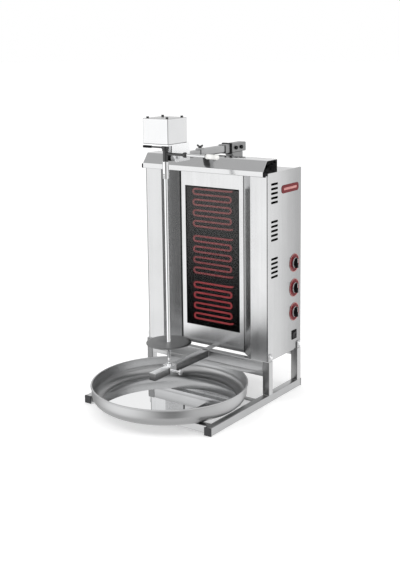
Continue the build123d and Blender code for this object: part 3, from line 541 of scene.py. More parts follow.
@dataclass(frozen=True)
class PaintedFoldShade:
    """Painted shade: darker lines along the upright folds of a square box round the spit, in millimetres.
    """

    half: float
    width: float
    last: float

    def share(self, t: NodeTree, place: Socket) -> Socket:
        """Gives the brightness factor at each point, which drops only where both sides of a fold are near.

        Args:
            t: the tree that gets the nodes.
            place: the object coordinates.

        Returns:
            The factor.
        """
        parts = t.about_spit(place)
        near = [t.spread(t.maths("ABSOLUTE", parts[k]), (self.half - self.width) * MM,
                         (self.half - self.width * 0.3) * MM, 0.0, 1.0) for k in (0, 1)]
        return t.spread(t.maths("MULTIPLY", *near), 0.0, 1.0, 1.0, self.last)


@dataclass(frozen=True)
class Steel:
    """Stainless steel: brushed one way, with faint streaks and handling marks, and with fades of brightness
    along its axes, which on most finishes are painted shade and reflections.
    """

    name: str
    brightness: float = 0.6
    roughness: float = 0.3
    grain: Grain = Grain.Z
    depth: float = 0.05
    streaks: float = 0.1
    marks: float = 0.06
    anisotropy: float = 0.0
    # Painted shade and reflections, each a fade along an axis or along the folds; on the screws, a
    # darkening above z 700.
    fade: tuple[Fade | PaintedFoldShade, ...] = ()
    slot: str = "brushed_stainless"
    across_scale: float = 900.0
    along_scale: float = 12.0
    tint: Triple = (1.0, 1.005, 1.012)

    def stretched(self, t: NodeTree, place: Socket) -> Socket:
        """Gives coordinates that run slowly along the grain and fast across it.

        Round the spit they are the distance from it, the height and a share of the angle.

        Args:
            t: the tree that gets the nodes.
            place: the object coordinates.

        Returns:
            The stretched coordinates.
        """
        scale = [self.across_scale] * 3
        if self.grain is Grain.ROUND:
            x, y, z = t.about_spit(place)
            flat = t.add("CombineXYZ", {0: x, 1: y})
            length = t.add("VectorMath", {0: flat.outputs[0]}, operation="LENGTH").outputs[1]
            turn = t.maths("MULTIPLY", t.maths("ARCTAN2", y, x), 0.004)
            place = t.add("CombineXYZ", {0: length, 1: z, 2: turn}).outputs[0]
        else:
            scale["XYZ".index(self.grain.name)] = self.along_scale
        return t.add("Mapping", {0: place, "Scale": tuple(scale)}).outputs[0]

    def make(self) -> bpy.types.Material:
        """Builds the material.

        Returns:
            The finished material.
        """
        material, t, shader = shader_of(self.name)
        place = t.place()
        stretched = self.stretched(t, place)
        fine = t.noise(stretched, 1.0, 3.0, 0.6)
        broad = t.noise(stretched, 0.12, 2.0)
        cloud = t.noise(place, 9.0, 4.0, 0.55)
        grain = t.maths("ADD", t.maths("MULTIPLY", fine, 0.5), t.maths("MULTIPLY", broad, 0.5))
        shade = t.spread(grain, 0.3, 0.7, 1 - self.streaks, 1 + self.streaks)
        shade = t.maths("MULTIPLY", shade, t.spread(cloud, 0.35, 0.7, 1.0, 1 - self.marks))
        # Multiplies in the fades, which paint shade and reflections into the colour.
        for fade in self.fade:
            shade = t.maths("MULTIPLY", shade, fade.share(t, place))
        tint = t.add("CombineXYZ", {k: t.maths("MULTIPLY", shade, self.brightness * v)
                                    for k, v in enumerate(self.tint)})
        rough = t.maths("ADD", t.spread(grain, 0.3, 0.7, self.roughness * 0.85, self.roughness * 1.1),
                        t.spread(cloud, 0.4, 0.7, 0.0, self.marks))
        t.fill(shader, {"Base Color": tint.outputs[0], "Roughness": rough, "Metallic": 1.0,
                        "Normal": t.bump(fine, self.depth, 0.0004)})
        if self.anisotropy:
            tangent = t.add("Tangent", direction_type="RADIAL", axis="Z")
            t.fill(shader, {"Anisotropic": self.anisotropy, "Tangent": tangent.outputs[0]})
        return material


@dataclass(frozen=True)
class Plastic:
    """Moulded plastic with a fine spark-eroded texture and a little rub on its shine."""

    name: str
    base: Triple
    roughness: float = 0.45
    texture: float = 0.08
    grain_size: float = 1600.0
    shine: float = 0.3
    slot: str = "black_plastic"

    def make(self) -> bpy.types.Material:
        """Builds the material.

        Returns:
            The finished material.
        """
        material, t, shader = shader_of(self.name)
        place = t.place()
        fine = t.noise(place, self.grain_size, 2.0)
        cloud = t.noise(place, 60.0, 3.0)
        dark = tuple(v * 0.82 for v in self.base) + (1.0,)
        light = tuple(min(v * 1.18, 1.0) for v in self.base) + (1.0,)
        low, high = self.roughness * 0.85, self.roughness * 1.15
        t.fill(shader, {"Base Color": t.mix(t.spread(cloud, 0.35, 0.65, 0.0, 1.0), dark, light),
                        "Roughness": t.spread(cloud, 0.3, 0.7, low, high),
                        "Normal": t.bump(fine, self.texture, 0.0002), "Specular IOR Level": self.shine})
        return material


@dataclass(frozen=True)
class HotTube:
    """A heating tube's oxidised skin, glowing red along its runs and dark where its legs turn back."""

    name: str
    hot: Triple
    runs_end: float = 318.0
    legs_cold: float = 325.0
    dark: tuple[float, ...] = (0.05, 0.02, 0.018, 1)
    light: tuple[float, ...] = (0.12, 0.05, 0.045, 1)
    slot: str = "heating_tube"

    def make(self) -> bpy.types.Material:
        """Builds the material.

        Returns:
            The finished material.
        """
        material, t, shader = shader_of(self.name)
        place = t.place()
        cloud = t.noise(place, 55.0, 3.0)
        cold = Fade(Run.Y, self.runs_end, self.legs_cold, 1.0, 0.0).share(t, place)
        glow = t.maths("MULTIPLY", cold, t.spread(cloud, 0.3, 0.7, 0.85, 1.12))
        t.fill(shader, {"Base Color": t.mix(t.spread(cloud, 0.35, 0.7, 0.0, 1.0), self.dark, self.light),
                        "Emission Strength": glow, "Emission Color": self.hot + (1.0,), "Roughness": 0.6})
        return material


@dataclass(frozen=True)
class DarkGlass:
    """Smoked ceramic glass, clear enough to show what glows behind, with a painted reflection: dark grey
    and shinier above, near black and duller below.
    """

    name: str
    # From bottom to the shine at the top: the heights, colours and shine of the painted reflection.
    bottom: float = 180.0
    top: float = 540.0
    low: float = 0.003
    high: float = 0.03
    painted_reflection_bottom: float = 0.03
    painted_reflection_top: float = 0.5
    alpha: float = 0.6
    border: tuple[tuple[Run, float, float], ...] = ((Run.X, -86.5, -85.5), (Run.X, 86.5, 85.5),
                                                    (Run.Z, 553.5, 552.5))

    def make(self) -> bpy.types.Material:
        """Builds the material.

        Returns:
            The finished material.
        """
        material, t, shader = shader_of(self.name)
        place = t.place()
        # Painted reflection: colour and shine rise from the bottom to the top.
        share = Fade(Run.Z, self.bottom, self.top, 0.0, 1.0).share(t, place)
        share = t.maths("MULTIPLY", share, t.spread(t.noise(place, 6.0, 1.0), 0.3, 0.7, 0.94, 1.0))
        # The colour and shine also drop to the bottom's in thin bands along the sides and the top.
        for run, edge, inner in self.border:
            share = t.maths("MULTIPLY", share, Fade(run, edge, inner, 0.0, 1.0).share(t, place))
        t.fill(shader, {"Base Color": t.mix(share, colour(self.low), colour(self.high)),
                        "Specular IOR Level": t.spread(share, 0.0, 1.0, self.painted_reflection_bottom, self.painted_reflection_top),
                        "Roughness": 0.1, "IOR": 1.5, "Alpha": self.alpha})
        return material


@dataclass(frozen=True)
class Enamel:
    """Printed or enamelled plate in two close shades."""

    name: str
    dark: Triple
    light: Triple
    roughness: float = 0.35
    slot: str = "dark_red_print"

    def make(self) -> bpy.types.Material:
        """Builds the material.

        Returns:
            The finished material.
        """
        material, t, shader = shader_of(self.name)
        cloud = t.noise(t.place(), 240.0, 3.0)
        share = t.spread(cloud, 0.35, 0.75, 0.0, 1.0)
        t.fill(shader, {"Base Color": t.mix(share, self.dark + (1.0,), self.light + (1.0,)),
                        "Roughness": t.spread(cloud, 0.3, 0.7, self.roughness * 0.8, self.roughness * 1.2),
                        "Specular IOR Level": 0.2})
        return material


class Finish:
    """The grill's finishes, each made once."""

    made: dict[str, bpy.types.Material] = {}
    PANEL = Steel("panel_steel", 0.62, 0.2, Grain.Z, 0.04, 0.04)
    # Painted shade: darker at the inner edge by the recess and along the outer edge.
    LEFT_WING = Steel("left_wing_steel", 0.6, 0.2, Grain.Z, 0.04, 0.04,
                      fade=(Fade(Run.X, -107, -105, 1.0, 0.15), Fade(Run.X, -197.4, -195.8, 0.4, 1.0)))
    # Painted shade and reflection: darker at the inner edge by the recess, along the outer edge and towards
    # the bottom.
    RIGHT_WING = Steel("right_wing_steel", 0.64, 0.2, Grain.Z, 0.04, 0.04,
                       fade=(Fade(Run.X, 105, 107, 0.15, 1.0), Fade(Run.X, 195.6, 197.0, 1.0, 0.1),
                             Fade(Run.Z, 300, 120, 1.0, 0.6)))
    # Painted reflection: darker towards the back.
    SIDE = Steel("side_panel_steel", 0.66, 0.22, Grain.Z, 0.04, 0.04,
                 fade=(Fade(Run.Y, 275, 440, 1.0, 0.62),))
    # Painted reflection: darker below z 160, under the window.
    CENTRE = Steel("centre_panel_steel", 0.66, 0.2, Grain.Z, 0.04, 0.04,
                   fade=(Fade(Run.Z, 160, 112, 1.0, 0.5),))
    SHEET_X = Steel("sheet_steel_across", 0.62, 0.24, Grain.X, 0.04, 0.05)
    TUBE_X = Steel("tube_steel_across", 0.5, 0.3, Grain.X, 0.06, 0.1)
    TUBE_Y = Steel("tube_steel_along", 0.5, 0.3, Grain.Y, 0.06, 0.1)
    # Painted shade on each post's front face, for the front and the rear posts.
    FRONT_POST = Steel("front_post_steel", 0.6, 0.28, Grain.Z, 0.06, 0.1,
                       fade=(Fade(Run.Y, 267.4, 268.4, 0.4, 1.0),))
    REAR_POST = Steel("rear_post_steel", 0.6, 0.28, Grain.Z, 0.06, 0.1,
                      fade=(Fade(Run.Y, 414.4, 415.4, 0.4, 1.0),))
    # Painted shade on the sides, deepening towards the bottom, and a painted highlight on the front part of
    # the arm.
    LOWER_ARM = Steel("lower_arm_steel", 0.62, 0.3, Grain.Y, 0.06, 0.1,
                      fade=(Fade(Run.Z, 110.6, 108, 1.0, 0.5), Fade(Run.Z, 107, 92, 1.0, 0.5),
                            Fade(Run.Y, 90, 105, 1.45, 1.0)))
    # Painted shade on the underside and the lower sides.
    UPPER_ARM = Steel("upper_arm_steel", 0.42, 0.3, Grain.Y, 0.06, 0.1,
                      fade=(Fade(Run.Z, 650, 645.5, 1.0, 0.2),))
    BRACKET = Steel("bracket_steel", 0.95, 0.25, Grain.Z, 0.02, 0.03, 0.03)
    WELD = Steel("weld_steel", 0.42, 0.42, Grain.Y, 0.1, 0.2, 0.2)
    HOOD = Steel("hood_steel", 0.66, 0.12, Grain.X, 0.01, 0.03, 0.03, slot="polished_stainless")
    POLISHED = Steel("polished_steel", 0.72, 0.12, Grain.X, 0.01, 0.02, 0.03, slot="polished_stainless")
    # Painted shade along the bottom edge and the upright folds, and a painted reflection that darkens the
    # top face.
    COVER = Steel("cover_steel", 0.74, 0.2, Grain.Z, 0.01, 0.02, 0.03,
                  fade=(Fade(Run.Z, 696.5, 694.5, 1.0, 0.25), Fade(Run.Z, 756.2, 757.6, 1.0, 0.6),
                        PaintedFoldShade(39.5, 1.8, 0.4)), slot="polished_stainless")
    # Painted shade towards the foot.
    PAN_WALL = Steel("spun_steel", 0.56, 0.3, Grain.ROUND, 0.004, 0.012, 0.02, 0.5,
                     fade=(Fade(Run.Z, 60, 24, 1.0, 0.72),), slot="polished_stainless")
    PAN_FLOOR = Steel("mirror_steel", 0.93, 0.015, Grain.ROUND, 0.002, 0.01, 0.01,
                      slot="polished_stainless")
    BRIGHT = Steel("bright_steel", 0.92, 0.12, Grain.Z, 0.02, 0.04, 0.03, slot="bright_steel")
    TRIM = Steel("trim_steel", 0.5, 0.22, Grain.X, 0.02, 0.04, 0.03, slot="bright_steel")
    SCREW = Steel("screw_steel", 0.8, 0.3, Grain.Z, 0.02, 0.04, 0.03,
                  fade=(Fade(Run.Z, 690, 700, 1.0, 0.08),))
    DARK = Steel("dark_steel", 0.1, 0.36, Grain.Z, 0.08, 0.15, 0.1, slot="dark_steel")
    GREY = Steel("grey_steel", 0.3, 0.38, Grain.Y, 0.06, 0.12, 0.1)
    DISC = Steel("disc_steel", 0.24, 0.36, Grain.ROUND, 0.06, 0.15, 0.1, slot="dark_steel")
    MOTOR = Steel("motor_steel", 0.25, 0.5, Grain.Z, 0.1, 0.1, 0.1)
    CAP = Plastic("dark_grey_plastic", (0.045, 0.045, 0.048), 0.55, slot="dark_grey_plastic")
    BLACK = Plastic("black_plastic", (0.006, 0.006, 0.007), 0.42, shine=0.1)
    ROCKER = Plastic("grey_plastic", (0.02, 0.02, 0.022), 0.4, shine=0.15)
    WHITE = Plastic("white_plastic", (0.8, 0.8, 0.78), 0.3, 0.03, slot="white_plastic")
    CERAMIC = Plastic("white_ceramic", (0.7, 0.69, 0.65), 0.5)
    GLASS = DarkGlass("smoked_glass")
    RED = Enamel("dark_red_enamel", (0.12, 0.004, 0.008), (0.17, 0.01, 0.015))
    PALE_RED = Enamel("pale_red_enamel", (0.48, 0.2, 0.19), (0.6, 0.3, 0.28))
    PRINT = Plastic("white_print", (0.78, 0.74, 0.72), 0.5, 0.02, slot="white_plastic")
    GLOW_LOW = HotTube("hot_tube_lower", (1.5, 0.24, 0.27))
    GLOW_MIDDLE = HotTube("hot_tube_middle", (1.1, 0.25, 0.27))
    GLOW_HIGH = HotTube("hot_tube_upper", (1.0, 0.27, 0.27))

    @classmethod
    def of(cls, finish: object) -> bpy.types.Material:
        """Gives a finish's material, made the first time it is asked for.

        Args:
            finish: the finish.

        Returns:
            Its material.
        """
        if finish.name not in cls.made:
            cls.made[finish.name] = finish.make()
        return cls.made[finish.name]


def dress(finish: object, *nodes: str) -> None:
    """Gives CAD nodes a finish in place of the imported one.

    Args:
        finish: the finish.
        nodes: the names of the nodes.
    """
    for node in nodes:
        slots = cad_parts[node].data.materials
        slots.clear()
        slots.append(Finish.of(finish))
        LOG.info("dressed %s", node)


def linked(name: str, data: bpy.types.ID) -> bpy.types.Object:
    """Makes an object and links it to the scene.

    Args:
        name: the object's name.
        data: its mesh, light or camera.

    Returns:
        The new object.
    """
    made = bpy.data.objects.new(name, data)
    bpy.context.scene.collection.objects.link(made)
    return made


def piece(name: str, form: Form, body: str, finish: object, stands_for: tuple[str, ...] = (),
          sharp: float = 34.0, bevel: float = 0.0) -> bpy.types.Object:
    """Makes an object from a form and hangs it on its body.

    Args:
        name: the piece's name.
        form: its points in millimetres and its faces.
        body: the CAD body it rides on.
        finish: its finish.
        stands_for: CAD nodes that it replaces.
        sharp: edges that turn by more than this, in degrees, stay crisp.
        bevel: width of the rounding on its crisp edges, in millimetres.

    Returns:
        The new object.
    """
    mesh = bpy.data.meshes.new(name)
    mesh.from_pydata((form.points * MM + ZERO).tolist(), [], form.faces)
    mesh.update()
    mesh.polygons.foreach_set("use_smooth", np.ones(len(mesh.polygons), bool))
    mesh.set_sharp_from_angle(angle=math.radians(sharp))
    mesh.materials.append(Finish.of(finish))
    made = linked(name, mesh)
    if bevel:
        rounding = made.modifiers.new("rounded edges", "BEVEL")
        rounding.width = bevel * MM
        rounding.segments = 2
        rounding.limit_method = "ANGLE"
        rounding.angle_limit = math.radians(BEVEL_FROM)
        rounding.harden_normals = True
    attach(made, body)
    if stands_for:
        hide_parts(*stands_for)
    LOG.info("made %s with %d faces", name, len(form.faces))
    return made


@dataclass
class BaseFrame:
    """Welded frame of square tubes that carries the cabinet and the pan."""

    width: float = 410.0
    tube: float = 20.0
    rail_ends: Pair = (3.0, 432.0)
    post_fronts: Pair = (267.0, 414.0)
    floor: float = 110.0
    bar_fronts: Pair = (10.0, 213.0)
    arm_front: float = 34.0
    arm_centre: float = 101.0
    lap_span: Pair = (262.0, 303.0)
    lap_sheet: float = 1.0
    member_front: float = 269.0
    member_size: Pair = (18.0, 40.0)
    lip_front: float = 267.5
    lip_heights: Pair = (70.0, 81.0)
    strap_faces: Pair = (200.1, 203.0)
    strap_heights: Pair = (94.0, 130.0)
    strap_setback: float = 2.0
    strap_half_width: float = 8.0
    bead_line: float = 268.8
    bead_inset: float = 1.5
    post_bead_height: float = 20.2
    bar_bead_inset: float = 0.2
    bar_bead_heights: Pair = (2.0, 18.0)
    side_beads: tuple[Pair, ...] = ((269.2, 72.0), (414.2, 92.0))
    side_bead_top: float = 108.0
    arm_bead_side: float = 10.0
    arm_bead_heights: Pair = (92.5, 109.5)
    under_bead_half: float = 8.5
    under_bead_height: float = 91.2

    def inner(self) -> float:
        """Gives the distance from the middle plane to a rail's inner face."""
        return self.width / 2 - self.tube

    def rails(self) -> None:
        """Draws the two rails."""
        for side, name in ((-1, "left_rail"), (1, "right_rail")):
            centre = (self.tube / 2, side * (self.inner() + self.tube / 2))
            form = bar(Run.Y, self.rail_ends, centre, (self.tube, self.tube))
            piece(name + "_tube", form, ROOT, Finish.TUBE_Y, (name,), bevel=0.2)

    def posts(self) -> None:
        """Draws the four posts, each with its strap for a bolt."""
        low, high = self.strap_heights
        finishes = (Finish.FRONT_POST, Finish.REAR_POST)
        for front, place, finish in zip(self.post_fronts, ("front", "rear"), finishes):
            for side, name in ((-1, "left"), (1, "right")):
                node = f"{place}_{name}_post"
                centre = (side * (self.inner() + self.tube / 2), front + self.tube / 2)
                form = bar(Run.Z, (self.tube, self.floor), centre, (self.tube, self.tube))
                line = centre[1] + self.strap_setback
                before, behind = line - self.strap_half_width, line + self.strap_half_width
                corners = [(before, low), (behind, low), (behind, high), (before, high)]
                loop = rounded_path(corners, [0.5, 0.5, 4.0, 4.0], 5, closed=True)
                form += extruded(loop, Run.X, tuple(sorted(side * face for face in self.strap_faces)))
                piece(node + "_tube", form, ROOT, finish, (node,), bevel=0.2)

    def members(self) -> None:
        """Draws the cross members, the pan bars and the lower arm."""
        inner = (-self.inner(), self.inner())
        depth, height = self.member_size
        form = bar(Run.X, inner, (self.member_front + depth / 2, self.floor - height / 2), self.member_size)
        low, high = self.lip_heights
        front, back = self.lip_front, self.member_front
        lip = [(back, high), (front, high), (front, low), (back, low)]
        form += extruded(rounded_path(lip, 0.4, 3, closed=True), Run.X, inner)
        piece("front_cross_member_tube", form, ROOT, Finish.TUBE_X, ("front_cross_member",), bevel=0.2)
        half = self.tube / 2
        square = (self.tube, self.tube)
        for node, front, middle in (("rear_cross_member", self.post_fronts[1], self.floor - half),
                                    ("front_pan_bar", self.bar_fronts[0], half),
                                    ("rear_pan_bar", self.bar_fronts[1], half)):
            form = bar(Run.X, inner, (front + half, middle), square)
            piece(node + "_tube", form, ROOT, Finish.TUBE_X, (node,))
        form = bar(Run.Y, (self.arm_front, self.member_front), (self.arm_centre, 0.0), square)
        lap = self.arm_centre + half - self.lap_sheet / 2
        form += bar(Run.Y, self.lap_span, (lap, 0.0), (self.lap_sheet, self.tube), 0.3)
        piece("lower_arm_tube", form, ROOT, Finish.LOWER_ARM, ("lower_arm",), bevel=0.3)

    def welds(self) -> None:
        """Draws the weld beads where the posts, members and arm meet."""
        inner, outer, line = self.inner(), self.width / 2, self.bead_line
        half, foot = self.under_bead_half, self.under_bead_height
        ends = []
        for side in (-1, 1):
            near, far = side * (inner + self.bead_inset), side * (outer - self.bead_inset)
            for front in self.post_fronts:
                for y in (front, front + self.tube):
                    ends.append(((near, y, self.post_bead_height), (far, y, self.post_bead_height)))
            for y, low in self.side_beads:
                ends.append(((side * inner, y, low), (side * inner, y, self.side_bead_top)))
            corner = side * (inner - self.bar_bead_inset)
            for front in self.bar_fronts:
                for y in (front, front + self.tube):
                    ends.append([(corner, y, z) for z in self.bar_bead_heights])
            ends.append([(side * self.arm_bead_side, line, z) for z in self.arm_bead_heights])
        ends.append(((-half, line, foot), (half, line, foot)))
        form = joined([weld(*pair) for pair in ends])
        piece("frame_welds", form, ROOT, Finish.WELD, sharp=60.0)

    def build(self) -> None:
        """Builds the frame."""
        self.rails()
        self.posts()
        self.members()
        self.welds()
        dress(Finish.CAP, "rail_end_caps")
        dress(Finish.BRIGHT, "post_bolts")


@dataclass
class Cabinet:
    """Sheet cabinet with its recess, window and tray."""

    half: float = 198.8
    front: float = 271.0
    sheet: float = 1.2
    bend: float = 3.0
    strip_inner: float = 146.0
    recess_half: float = 103.2
    recess_front: float = 305.0
    span: Pair = (111.2, 604.8)

    def build(self) -> None:
        """Draws the front strips, bent in at the recess, and dresses the other sheets."""
        for side, node, finish in ((-1, "left_wing_panel", Finish.LEFT_WING),
                                   (1, "right_wing_panel", Finish.RIGHT_WING)):
            path = [(side * self.half, self.front), (side * self.strip_inner, self.front),
                    (side * self.recess_half, self.recess_front)]
            form = extruded(sheet_loop(path, self.bend, -side * self.sheet), Run.Z, self.span)
            piece(node + "_sheet", form, ROOT, finish, (node,), sharp=50.0)
        dress(Finish.SIDE, "left_side_panel", "right_side_panel")
        dress(Finish.PANEL, "rear_panel")
        dress(Finish.CENTRE, "centre_panel")
        dress(Finish.SHEET_X, "top_panel", "bottom_panel")
        dress(Finish.DARK, "heat_shield", "element_tray")
        dress(Finish.GLASS, "glass_pane")


@dataclass
class Heating:
    """Three heating tubes, each running to and fro behind the glass."""

    radius: float = 2.6
    span: float = 124.5
    centre: float = -7.0
    pitch: float = 14.9
    runs: int = 8
    plane: float = 315.4
    leg_end: float = 359.2
    leg_bend: float = 9.0
    bend_share: float = 0.497
    tops: Triple = (546.0, 414.0, 282.7)

    def path(self, top: float) -> Array:
        """Gives one tube's rounded centre line, from one leg to the other.

        Args:
            top: the height of its highest run.

        Returns:
            The centre line; its U-bends have nearly half the pitch as radius.
        """
        run = np.arange(self.runs)
        sign = np.where(run % 2 == 0, 1.0, -1.0)
        x = self.centre + np.stack((sign, -sign), axis=1).ravel() * self.span / 2
        z = np.repeat(top - run * self.pitch, 2)
        flat = np.stack((x, np.full_like(x, self.plane), z), axis=1)
        ends = flat[[0, -1]].copy()
        ends[:, 1] = self.leg_end
        corners = np.vstack((ends[:1], flat, ends[1:]))
        radii = np.full(len(corners), self.pitch * self.bend_share)
        radii[[1, -2]] = self.leg_bend
        return rounded_path(corners, radii, 8)

    def build(self) -> None:
        """Builds the three tubes."""
        for top, zone, finish in zip(self.tops, ("upper", "middle", "lower"),
                                     (Finish.GLOW_HIGH, Finish.GLOW_MIDDLE, Finish.GLOW_LOW)):
            form = pipe(self.path(top), self.radius, 14)
            made = piece(f"{zone}_hot_tube", form, ROOT, finish, (f"{zone}_element",), sharp=60.0)
            made.visible_glossy = False


@dataclass
class Controls:
    """Dials, knobs, switch, badge and electrical pieces."""

    line: float = 405.0
    heights: Triple = (353.0, 284.0, 217.0)
    face: float = 200.0
    knob_base: float = 201.4
    knob_height: float = 10.0
    disc_radius: float = 14.2
    disc_height: float = 3.5
    stem_radius: float = 3.0
    stem_length: float = 14.0
    grip_half: float = 4.0
    grip_reach: float = 13.4
    pointer_size: Pair = (1.4, 11.4)
    pointer_rise: float = 6.6
    dial_radii: Pair = (5.0, 25.0)
    band_radii: Pair = (23.2, 24.6)
    tick_radii: Pair = (19.0, 21.4)
    tick_half: float = 0.3
    badge_centre: Pair = (382.0, 560.5)
    badge_size: Pair = (88.0, 22.0)
    badge_panel_size: Pair = (66.0, 6.5)

    def knobs(self) -> None:
        """Draws the three knobs: a metal disc, a black bar grip with a waist, a pointer and a stem.

        The grip's half width at the distance r from the knob's axis is w (0.8 + 0.2 (r / R)^2).
        """
        reach = np.linspace(-self.grip_reach, self.grip_reach, 25)
        half = self.grip_half * (0.8 + 0.2 * (reach / self.grip_reach) ** 2)
        top, rim = self.disc_height, self.disc_radius
        disc = [(0.01, 0.0), (rim - 0.2, 0.0), (rim, 0.4), (rim, top - 0.9), (rim - 0.9, top), (11.6, top),
                (11.2, top - 0.3), (10.8, top), (0.01, top)]
        for height, zone in zip(self.heights, ("upper", "middle", "lower")):
            body = f"{zone}_knob"
            centre = (self.knob_base, self.line, height)
            piece(body + "_disc", turned(disc, Run.X, centre, 96), body, Finish.TRIM)
            outline = np.vstack((np.stack((self.line - half, height + reach), axis=1),
                                 np.stack((self.line + half, height + reach), axis=1)[::-1]))
            end = self.knob_base + self.knob_height
            grip = extruded(outline, Run.X, (self.knob_base + top - 0.1, end))
            stem = rod(Run.X, (-self.stem_length, 0.5), centre, self.stem_radius)
            piece(body + "_grip", grip + stem, body, Finish.BLACK, (body,), sharp=40.0, bevel=0.7)
            middle = (self.line, height + self.pointer_rise)
            line = bar(Run.X, (end - 0.1, end + 0.6), middle, self.pointer_size, 0.4)
            piece(body + "_pointer", line, body, Finish.PRINT)

    def dials(self) -> None:
        """Draws the dial rings with their pale bands and plain tick marks."""
        rings, bands, ticks = [], [], []
        hole, rim = self.dial_radii
        low, high = self.band_radii
        near, far = self.tick_radii
        for height in self.heights:
            centre = (self.face, self.line, height)
            ring = [(hole, 0.0), (rim, 0.0), (rim, 0.7), (rim - 0.4, 1.0), (hole, 1.0)]
            rings.append(turned(ring, Run.X, centre, 96, wrap=True))
            band = [(low, 0.9), (high, 0.9), (high, 1.05), (low, 1.05)]
            bands.append(turned(band, Run.X, centre, 96, wrap=True))
            for turn in np.radians(np.arange(-150, 151, 30)):
                across = np.array([math.cos(turn), math.sin(turn)])
                out = np.array([-math.sin(turn), math.cos(turn)])
                loop = [(self.line, height) + out * r + across * w
                        for r, w in ((near, -self.tick_half), (near, self.tick_half),
                                     (far, self.tick_half), (far, -self.tick_half))]
                ticks.append(extruded(np.array(loop), Run.X, (self.face + 0.9, self.face + 1.06)))
        for name, parts, finish, node in (("dial_ring_plates", rings, Finish.RED, ("dial_rings",)),
                                          ("dial_ring_bands", bands, Finish.PALE_RED, ()),
                                          ("dial_ring_ticks", ticks, Finish.PALE_RED, ())):
            piece(name, joined(parts), ROOT, finish, node)

    def badge(self) -> None:
        """Draws the bare badge plate with its pale inner panel."""
        loop = box_loop(self.badge_centre, self.badge_size, 8.5, 8)
        form = extruded(loop, Run.X, (self.face, self.face + 0.8))
        piece("badge_base", form, ROOT, Finish.RED, ("badge_plate",), bevel=0.3)
        loop = box_loop(self.badge_centre, self.badge_panel_size, 3.0, 8)
        form = extruded(loop, Run.X, (self.face + 0.7, self.face + 1.0))
        piece("badge_panel", form, ROOT, Finish.PALE_RED, bevel=0.1)

    def build(self) -> None:
        """Builds the controls."""
        self.knobs()
        self.dials()
        self.badge()
        dress(Finish.BLACK, "switch_housing", "cable_gland")
        dress(Finish.ROCKER, "switch_rocker")
        dress(Finish.CERAMIC, "energy_regulators", "terminal_block")


@dataclass
class Hood:
    """Folded hood over the front edge of the cabinet."""

    half: float = 195.0
    sheet: float = 1.2
    bend: float = 2.0
    front: float = 254.0
    slope_back: float = 275.0
    back: float = 325.0
    lip_heights: Pair = (602.0, 616.0)
    top: float = 643.0
    back_bottom: float = 606.0
    front_return: float = 8.0
    back_return: float = 14.0
    plug_centre: Pair = (258.0, 608.0)
    plug_size: Pair = (8.0, 12.0)
    plug_thickness: float = 5.0

    def build(self) -> None:
        """Builds the hood and the plugs in its lip."""
        low, high = self.lip_heights
        path = [(self.front + self.front_return, low), (self.front, low), (self.front, high),
                (self.slope_back, self.top), (self.back, self.top), (self.back, self.back_bottom),
                (self.back - self.back_return, self.back_bottom)]
        form = extruded(sheet_loop(path, self.bend, -self.sheet), Run.X, (-self.half, self.half))
        piece("hood_sheet", form, ROOT, Finish.HOOD, ("hood",), sharp=50.0)
        near, far = self.half, self.half + self.plug_thickness
        plugs = [bar(Run.X, span, self.plug_centre, self.plug_size, 1.0)
                 for span in ((-far, -near), (near, far))]
        piece("hood_lip_plugs", joined(plugs), ROOT, Finish.BLACK, ("hood_plugs",), bevel=0.5)


@dataclass
class UpperArm:
    """Fixed half of the arm: stand, sleeve, clamp, outer tube and wing bolt."""

    centre: float = 655.0
    tube_span: Pair = (246.0, 440.0)
    tube: float = 20.0
    wall: float = 1.5
    pad_span: Pair = (246.0, 262.0)
    pad_centre: float = 666.4
    pad_size: Pair = (3.2, 16.0)
    sleeve_span: Pair = (357.0, 456.0)
    sleeve: float = 25.0
    sleeve_wall: float = 2.3
    sleeve_edge: float = 2.2

    def build(self) -> None:
        """Builds the arm."""
        form = open_tube(Run.Y, self.tube_span, (self.centre, 0.0), self.tube, self.wall)
        form += bar(Run.Y, self.pad_span, (self.pad_centre, 0.0), self.pad_size, 0.6)
        piece("outer_arm_square_tube", form, ROOT, Finish.UPPER_ARM, ("outer_arm_tube",))
        form = open_tube(Run.Y, self.sleeve_span, (self.centre, 0.0), self.sleeve, self.sleeve_wall,
                         self.sleeve_edge)
        piece("arm_sleeve_tube", form, ROOT, Finish.GREY, ("arm_sleeve",))
        dress(Finish.GREY, "arm_stand")
        dress(Finish.BLACK, "sleeve_clamp")
        dress(Finish.DARK, "wing_bolt")


